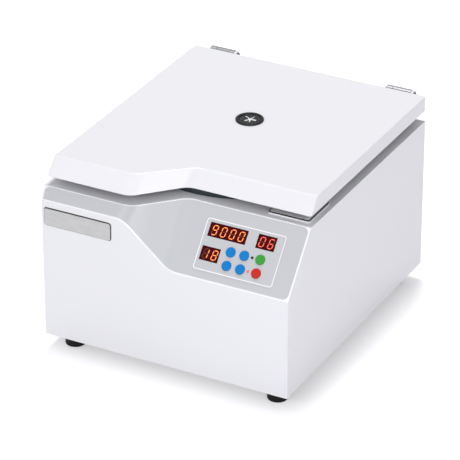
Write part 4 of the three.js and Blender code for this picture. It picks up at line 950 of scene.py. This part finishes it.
def buildHinges():
    axisY, axisZ, half = hinge["y"], hinge["z"], hinge["length"] / 2
    radius, leaf, face, shoulder = hinge["radius"], hinge["leaf"], hinge["face"], hinge["shoulder"]
    outer, end, middle, room = face + leaf, half - hinge["washer"] - 0.3, half - hinge["knuckle"], radius + 0.4
    strip = [(face, hinge["leafLow"]), (outer, hinge["leafLow"]), (outer, shoulder - leaf),
             (axisY + leaf, axisZ - radius), (axisY + leaf, axisZ), (axisY - leaf, axisZ),
             (axisY - leaf, axisZ - radius), (face, shoulder + leaf)]
    bends = rounded(strip, [0, 0, 4, 3, 0, 0, 3, 4], 5)

    def rod(name, low, high, radius=hinge["pin"] + 0.15, flats=32):
        return addRod(name, (low, axisY, axisZ), (high, axisY, axisZ), radius, flats)

    def boreAndSoften(leafPiece, x):
        cutWith(leafPiece, rod("bore", x - 30, x + 30))
        softEdges(leafPiece, 0.45, 2, 40)

    for side, x in (("left", -hinge["x"]), ("right", hinge["x"])):
        fixed = fillOutline("hinge_bracket_" + side, acrossX(bends, x - half), (half + end, 0, 0))
        uniteWith(fixed, rod("barrel", x - half, x + end, radius, 48))
        gap = middle + 0.3
        cutWith(fixed, addBlock("gap", (x - gap, axisY - room, axisZ - room), (x + gap, axisY + room, axisZ + room)))
        boreAndSoften(fixed, x)
        finishPiece(fixed, zincPlate, "hinge_fixed_leaf_" + side)
        placeScrews("hinge_bracket_screws_" + side, [(x - 11, outer, 180), (x + 11, outer, 180), (x, outer, 193)],
                    (0, 1, 0))

        moving = addBlock("hinge_lid_leaf_" + side, (x - middle, hinge["plateFace"], hinge["plateLow"]),
                          (x + middle, hinge["plateFace"] + leaf, hinge["plateHigh"]))
        uniteWith(moving, addBlock("web", (x - middle, hinge["plateFace"] + 1, axisZ - leaf),
                                   (x + middle, axisY, axisZ + leaf)))
        uniteWith(moving, rod("barrel", x - middle, x + middle, radius, 48))
        boreAndSoften(moving, x)
        finishPiece(moving, zincPlate, "hinge_moving_leaf_" + side, "lid")

        washer = rod("hinge_washer_" + side, x + end + 0.1, x + half + 0.2, 6.4, 48)
        cutWith(washer, rod("bore", x, x + 40))
        softEdges(washer, 0.4, 2)
        finishPiece(washer, whiteNylon)
        stretch = half + 0.3
        pin = rod("hinge_rod_" + side, x - stretch, x + stretch, hinge["pin"])
        for way in (-1, 1):
            head = rod("head", x + way * stretch, x + way * (stretch + 1.6), 4.6)
            softEdges(head, 0.6, 3)
            uniteWith(pin, head)
        finishPiece(pin, darkSteel, "hinge_pin_" + side)


# Lid liner and striker, seen when the lid is up
liner = {"margin": 6, "low": 214.8, "high": 236.7, "sheet": 1.4, "edge": 2.2}


def buildLidInside():
    margin, low, high, sheet, edge = liner.values()
    shell = capped("lid_liner_sheet", lidOutline(lid["lipFront"], lid["lipBend"], low, margin),
                   lidOutline(lid["topFront"], lid["topBend"], high, margin), low, edge, 4)
    thicken(shell, sheet)
    cutWith(shell, addRod("hole", (0, chamberY, 200), (0, chamberY, 250), 15.8, 64))
    # the liner's grey is partly painted shade for the gap under the lid
    finishPiece(shell, shadeGreyLiner, "lid_liner", "lid")
    places = [(x, y, low) for x in (-152, 152) for y in (-60, 120, 184)] + [(-110, -168, low), (112, -110, low)]
    placeScrews("liner_screws", places, (0, 0, -1), "lid")

    x, y = deck["slot"][:2]
    hook = fillOutline("lid_lock_hook", acrossX(rectangle(y, 199.5, 12, 30, 1.5), x - 1.5), (3, 0, 0))
    uniteWith(hook, addBlock("foot", (x - 6, y - 6, 211.5), (x + 6, y + 6, 214.5)))
    cutWith(hook, fillOutline("window", acrossX(rectangle(y, 192.75, 8.5, 8.5, 1.0), x - 9), (18, 0, 0)))
    softEdges(hook, 0.35, 2)
    finishPiece(hook, zincPlate, "lid_striker", "lid")


# Chamber: spun steel bowl, and the rubber boot round the shaft
bowl = {"radius": 140, "sheet": 1.2, "floor": 87.5, "rim": 149.2, "rimLow": 206.8, "fillet": 18, "hole": 26}
pleats = [(13, 76.4), (21, 76.4), (21, 80.6), (24, 81.8), (21.6, 83), (24.4, 84.4), (28.8, 84.4), (28.8, 86.1),
          (25.8, 86.1), (25.8, 87.7), (29, 87.7), (28, 89.6), (24, 90.4), (20, 88.8), (17, 90.2), (13.6, 90.4)]


def buildChamber():
    inner, sheet, floor, rim, rimLow, fillet, hole = bowl.values()
    outer, top = inner + sheet, rimLow + sheet
    outline = [(hole, floor - sheet), (outer, floor - sheet), (outer, rimLow), (rim, rimLow), (rim, top), (inner, top),
               (inner, floor), (hole, floor)]
    wall = spinOutline("chamber_wall", rounded(outline, [0, fillet, 0, 0.5, 0.5, 1.6, fillet, 0], 8), steps=128)
    finishPiece(wall, stainless, "chamber_bowl")
    boot = spinOutline("shaft_boot", rounded(pleats, [0] + [0.5] * 14 + [0], 3), steps=72)
    finishPiece(boot, blackRubber, "spindle_boot", smooth=60)


# Swing-out rotor: head with trunnions, nut and four buckets
rotor = {"z": 172.5, "radius": 84, "low": 165.5, "top": 179.5, "hub": 24, "hubLow": 157.5, "hubTop": 183.5,
         "bore": 6.3, "notch": 22.2, "notchStart": 31.5, "circle": 58, "pin": 3, "pinReach": 3.6}


def buildRotorHead():
    z, radius, low, top, hub, hubLow, hubTop, bore, notchY, notchX, circle, pinRadius, pinReach = rotor.values()
    outline = [(bore, hubLow), (hub, hubLow), (hub, low), (radius, low), (radius, top), (hub, top), (hub, hubTop),
               (bore, hubTop)]
    head = spinOutline("swing_out_head", rounded(outline, [0, 1.5, 2, 2, 2, 3, 1.5, 0], 4), steps=96)
    pins = []
    for quarter in range(4):
        turn = moved(0, chamberY, 0) @ turnedBy(90 * quarter)
        notch = slab("notch", rectangle((notchX + 100) / 2, 0, 100 - notchX, 2 * notchY, 7, 6), 150, 190)
        notch.data.transform(turn)
        pocket = slab("pocket", rectangle(0, 0, 22, 15, 5), 175.5, 184.5)
        pocket.data.transform(turn @ turnedBy(45) @ moved(62, 0, 0))
        cutWith(head, notch)
        cutWith(head, pocket)
        for side in (-1, 1):
            outer, inner = side * (notchY + 2), side * (notchY - pinReach)
            pin = addRod("pin", (circle, outer, z), (circle, inner, z), pinRadius, 32)
            softEdges(pin, 0.5, 2)
            pin.data.transform(turn)
            pins.append(pin)
    softEdges(head, 0.7, 3)
    finishPiece(head, machinedAluminium, "rotor_head", "rotor")
    finishPiece(joined("trunnion_pins", pins), polishedSteel, body="rotor")

    nut = addRod("clamping_nut", (0, chamberY, 185), (0, chamberY, 194.8), 13, 6)
    cutWith(nut, addRod("bore", (0, chamberY, 180), (0, chamberY, 190.8), bore, 32))
    softEdges(nut, 0.9, 3)
    collar = rounded([(bore, 183.8), (16, 183.8), (16, 186.8), (bore, 186.8)], [0, 0.6, 0.9, 0], 3)
    uniteWith(nut, spinOutline("collar", collar, steps=48))
    finishPiece(nut, polishedSteel, "rotor_nut", "rotor")


bucket = {"bore": 15.3, "radius": 17.5, "low": 102.5, "top": 186.5, "collar": 21, "collarLow": 168.5,
          "collarTop": 180.5, "cone": 12, "floor": 4, "slot": 3.3}


def buildBuckets():
    bore, radius, low, top, collar, collarLow, collarTop, cone, floor, half = bucket.values()
    outline = [(0, low), (radius - 6, low), (radius, low + cone), (radius, collarLow), (collar, collarLow),
               (collar, collarTop), (radius, collarTop), (radius, top), (bore, top), (bore, low + cone),
               (bore - 6, low + floor), (0, low + floor)]
    cup = spinSolid("bucket", outline, [0, 4, 5, 1, 1, 1.2, 1, 0.7, 0.7, 4, 3, 0], 64)
    z = rotor["z"]
    for inner, outer in ((-18.3, -30), (18.3, 30)):
        cutWith(cup, addRod("seat", (0, inner, z), (0, outer, z), half, 32))
        cutWith(cup, addBlock("mouth", (-half, min(inner, outer), 160), (half, max(inner, outer), z)))
    softEdges(cup, 0.3, 2, 50)
    pad = spinSolid("pad", [(0, low + 4.2), (9.2, low + 4.2), (15, low + 12.5), (15, low + 16), (0, low + 14)],
                    [0, 2, 2, 1, 0])
    for number in range(1, 5):
        place = moved(0, chamberY, 0) @ turnedBy(90 * (number - 1)) @ moved(rotor["circle"], 0, 0)
        body, node = f"bucket_{number}_body", f"bucket_{number}"
        finishPiece(copyOf(cup, "swing_" + node, place), anodised, node, body)
        finishPiece(copyOf(pad, f"bucket_pad_{number}", place), blackRubber, body=body)
    discard(cup, pad)


def buildBase():
    places = [(x, y, 0) for x in (-160, 160) for y in (-120, 0, 120)] + [(0, y, 0) for y in (-180, 180)]
    placeScrews("base_screws", places, (0, 0, -1))


buildHousing()
buildDeck()
buildFascia()
print("housing built")
buildOverlay()
buildDisplays()
buildKeys()
buildLamps()
buildNameplate()
print("control panel built")
buildLid()
buildSightGlass()
buildGasket()
buildLockPlate()
buildFeet()
print("lid and feet built")
screwHead = makeScrew()
buildRearPanel()
buildInlet()
buildHinges()
buildLidInside()
buildBase()
print("rear and hinges built")
buildChamber()
buildRotorHead()
buildBuckets()
discard(screwHead)
print("chamber and rotor built")


# CAD nodes that keep their shape get the material of their slot in the record
slotMaterials = {
    "white_enamel": whiteCoat, "grey_enamel": greyCoat, "zinc_plate": zincPlate, "stainless_steel": stainless,
    "brushed_aluminium": brushedPlate, "cast_aluminium": machinedAluminium, "black_rubber": blackRubber,
    "black_plastic": blackPlastic, "overlay_film": overlayFilm, "display_window": displayFilter,
    "red_lamp": redLamp, "blue_key": blueKey, "green_key": greenKey, "red_key": redKey, "clear_lens": clearGlass,
    "circuit_board": circuitBoard,
}
slots = {part["node"]: part["material_slot"] for part in frame["record"]["subparts"]}
for name, node in frame["nodes"].items():
    for holder in node.material_slots:
        holder.material = slotMaterials[slots[name]]
print("frame finished")


# Camera, floor and light
view = {"place": (1.59368, -3.03768, 1.94794), "tilt": 61.66, "turn": 27.83, "lens": 240.77, "sensor": 36, "far": 50}
camera = bpy.data.objects.new("camera", bpy.data.cameras.new("camera"))
bpy.context.scene.collection.objects.link(camera)
camera.location = origin + Vector(view["place"])
camera.rotation_euler = (math.radians(view["tilt"]), 0, math.radians(view["turn"]))
camera.data.lens = view["lens"]
camera.data.sensor_width = view["sensor"]
camera.data.clip_end = view["far"]
bpy.context.scene.camera = camera

studio = {
    "ambient": 0.41,
    "mirrored": 0.5,
    "floorColour": "#dcdce0",
    # the glow is weaker under and near the object: painted shadow on the floor round the base, and even white away from
    # it
    "floorGlowAndPaintedShadow": (0.28, 0.55),  # under the object and away from it
    "paintedShadowFootprint": (0.145, 0.155),
    "paintedShadowReach": (0, 0.055),
    "lights": {  # place, size in metres, watts
        "front_light": ((-0.6, -3.1, 1.5), 1.2, 24.5),
        "corner_light": ((1.9, -2.4, 1.0), 0.8, 19),
        "side_light": ((2.45, -1.58, 1.93), 1.0, 12),
        "back_light": ((-0.4, 1.0, 3.1), 0.8, 45),
    },
}


def rayKind(tree, *kinds):  # 1 for rays of these kinds
    path = addNode(tree, "ShaderNodeLightPath")
    level = path.outputs[f"Is {kinds[0]} Ray"]
    for kind in kinds[1:]:
        level = addNode(tree, "ShaderNodeMath", links={0: level, 1: path.outputs[f"Is {kind} Ray"]},
                        operation="MAXIMUM").outputs[0]
    return level


def buildStudio():
    clearSelection()
    bpy.ops.mesh.primitive_plane_add(size=14, location=(0, 0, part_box("foot_front_left")[0].z))
    floor = settle("floor")
    material = bpy.data.materials.new("matt_white_floor")
    material.use_nodes = True
    tree = material.node_tree
    tree.nodes.clear()
    diffuse = addNode(tree, "ShaderNodeBsdfDiffuse", {"Color": hexColour(studio["floorColour"])}).outputs[0]
    # The glow dims towards the object's footprint: painted shadow round the base
    place = vectorMath(tree, "ABSOLUTE", addNode(tree, "ShaderNodeTexCoord").outputs["Object"])
    outside = vectorMath(tree, "MAXIMUM", vectorMath(tree, "SUBTRACT", place, (*studio["paintedShadowFootprint"], 0)))
    reach = dict(zip(("From Min", "From Max", "To Min", "To Max"), studio["paintedShadowReach"] + studio["floorGlowAndPaintedShadow"]))
    level = addNode(tree, "ShaderNodeMapRange", reach, {"Value": vectorMath(tree, "LENGTH", outside)})
    glow = addNode(tree, "ShaderNodeEmission", links={"Strength": level.outputs["Result"]}).outputs[0]
    both = addNode(tree, "ShaderNodeAddShader", links={0: diffuse, 1: glow}).outputs[0]
    mix = addNode(tree, "ShaderNodeMixShader", links={
        0: rayKind(tree, "Camera", "Glossy", "Transmission"), 1: diffuse, 2: both})
    addNode(tree, "ShaderNodeOutputMaterial", links={"Surface": mix.outputs[0]})
    floor.data.materials.append(material)

    world = bpy.data.worlds.new("studio")
    bpy.context.scene.world = world
    world.use_nodes = True
    tree = world.node_tree
    tree.nodes.clear()
    mirrored = addNode(tree, "ShaderNodeMix", {"A": studio["ambient"], "B": studio["mirrored"]},
                       {"Factor": rayKind(tree, "Glossy")})
    level = addNode(tree, "ShaderNodeMix", {"B": 1.0},
                    {"Factor": rayKind(tree, "Camera", "Transmission"), "A": mirrored.outputs[0]})
    sky = addNode(tree, "ShaderNodeBackground", {"Color": (1, 1, 1, 1)}, {"Strength": level.outputs[0]})
    addNode(tree, "ShaderNodeOutputWorld", links={"Surface": sky.outputs[0]})

    for name, (place, size, power) in studio["lights"].items():
        light = bpy.data.lights.new(name, "AREA")
        light.size, light.energy = size, power
        lamp = bpy.data.objects.new(name, light)
        bpy.context.scene.collection.objects.link(lamp)
        lamp.location = place
        lamp.rotation_euler = (Vector((0, 0, 0.1)) - Vector(place)).to_track_quat("-Z", "Y").to_euler()


buildStudio()
bpy.context.scene.view_settings.view_transform = "Standard"
print("studio built")
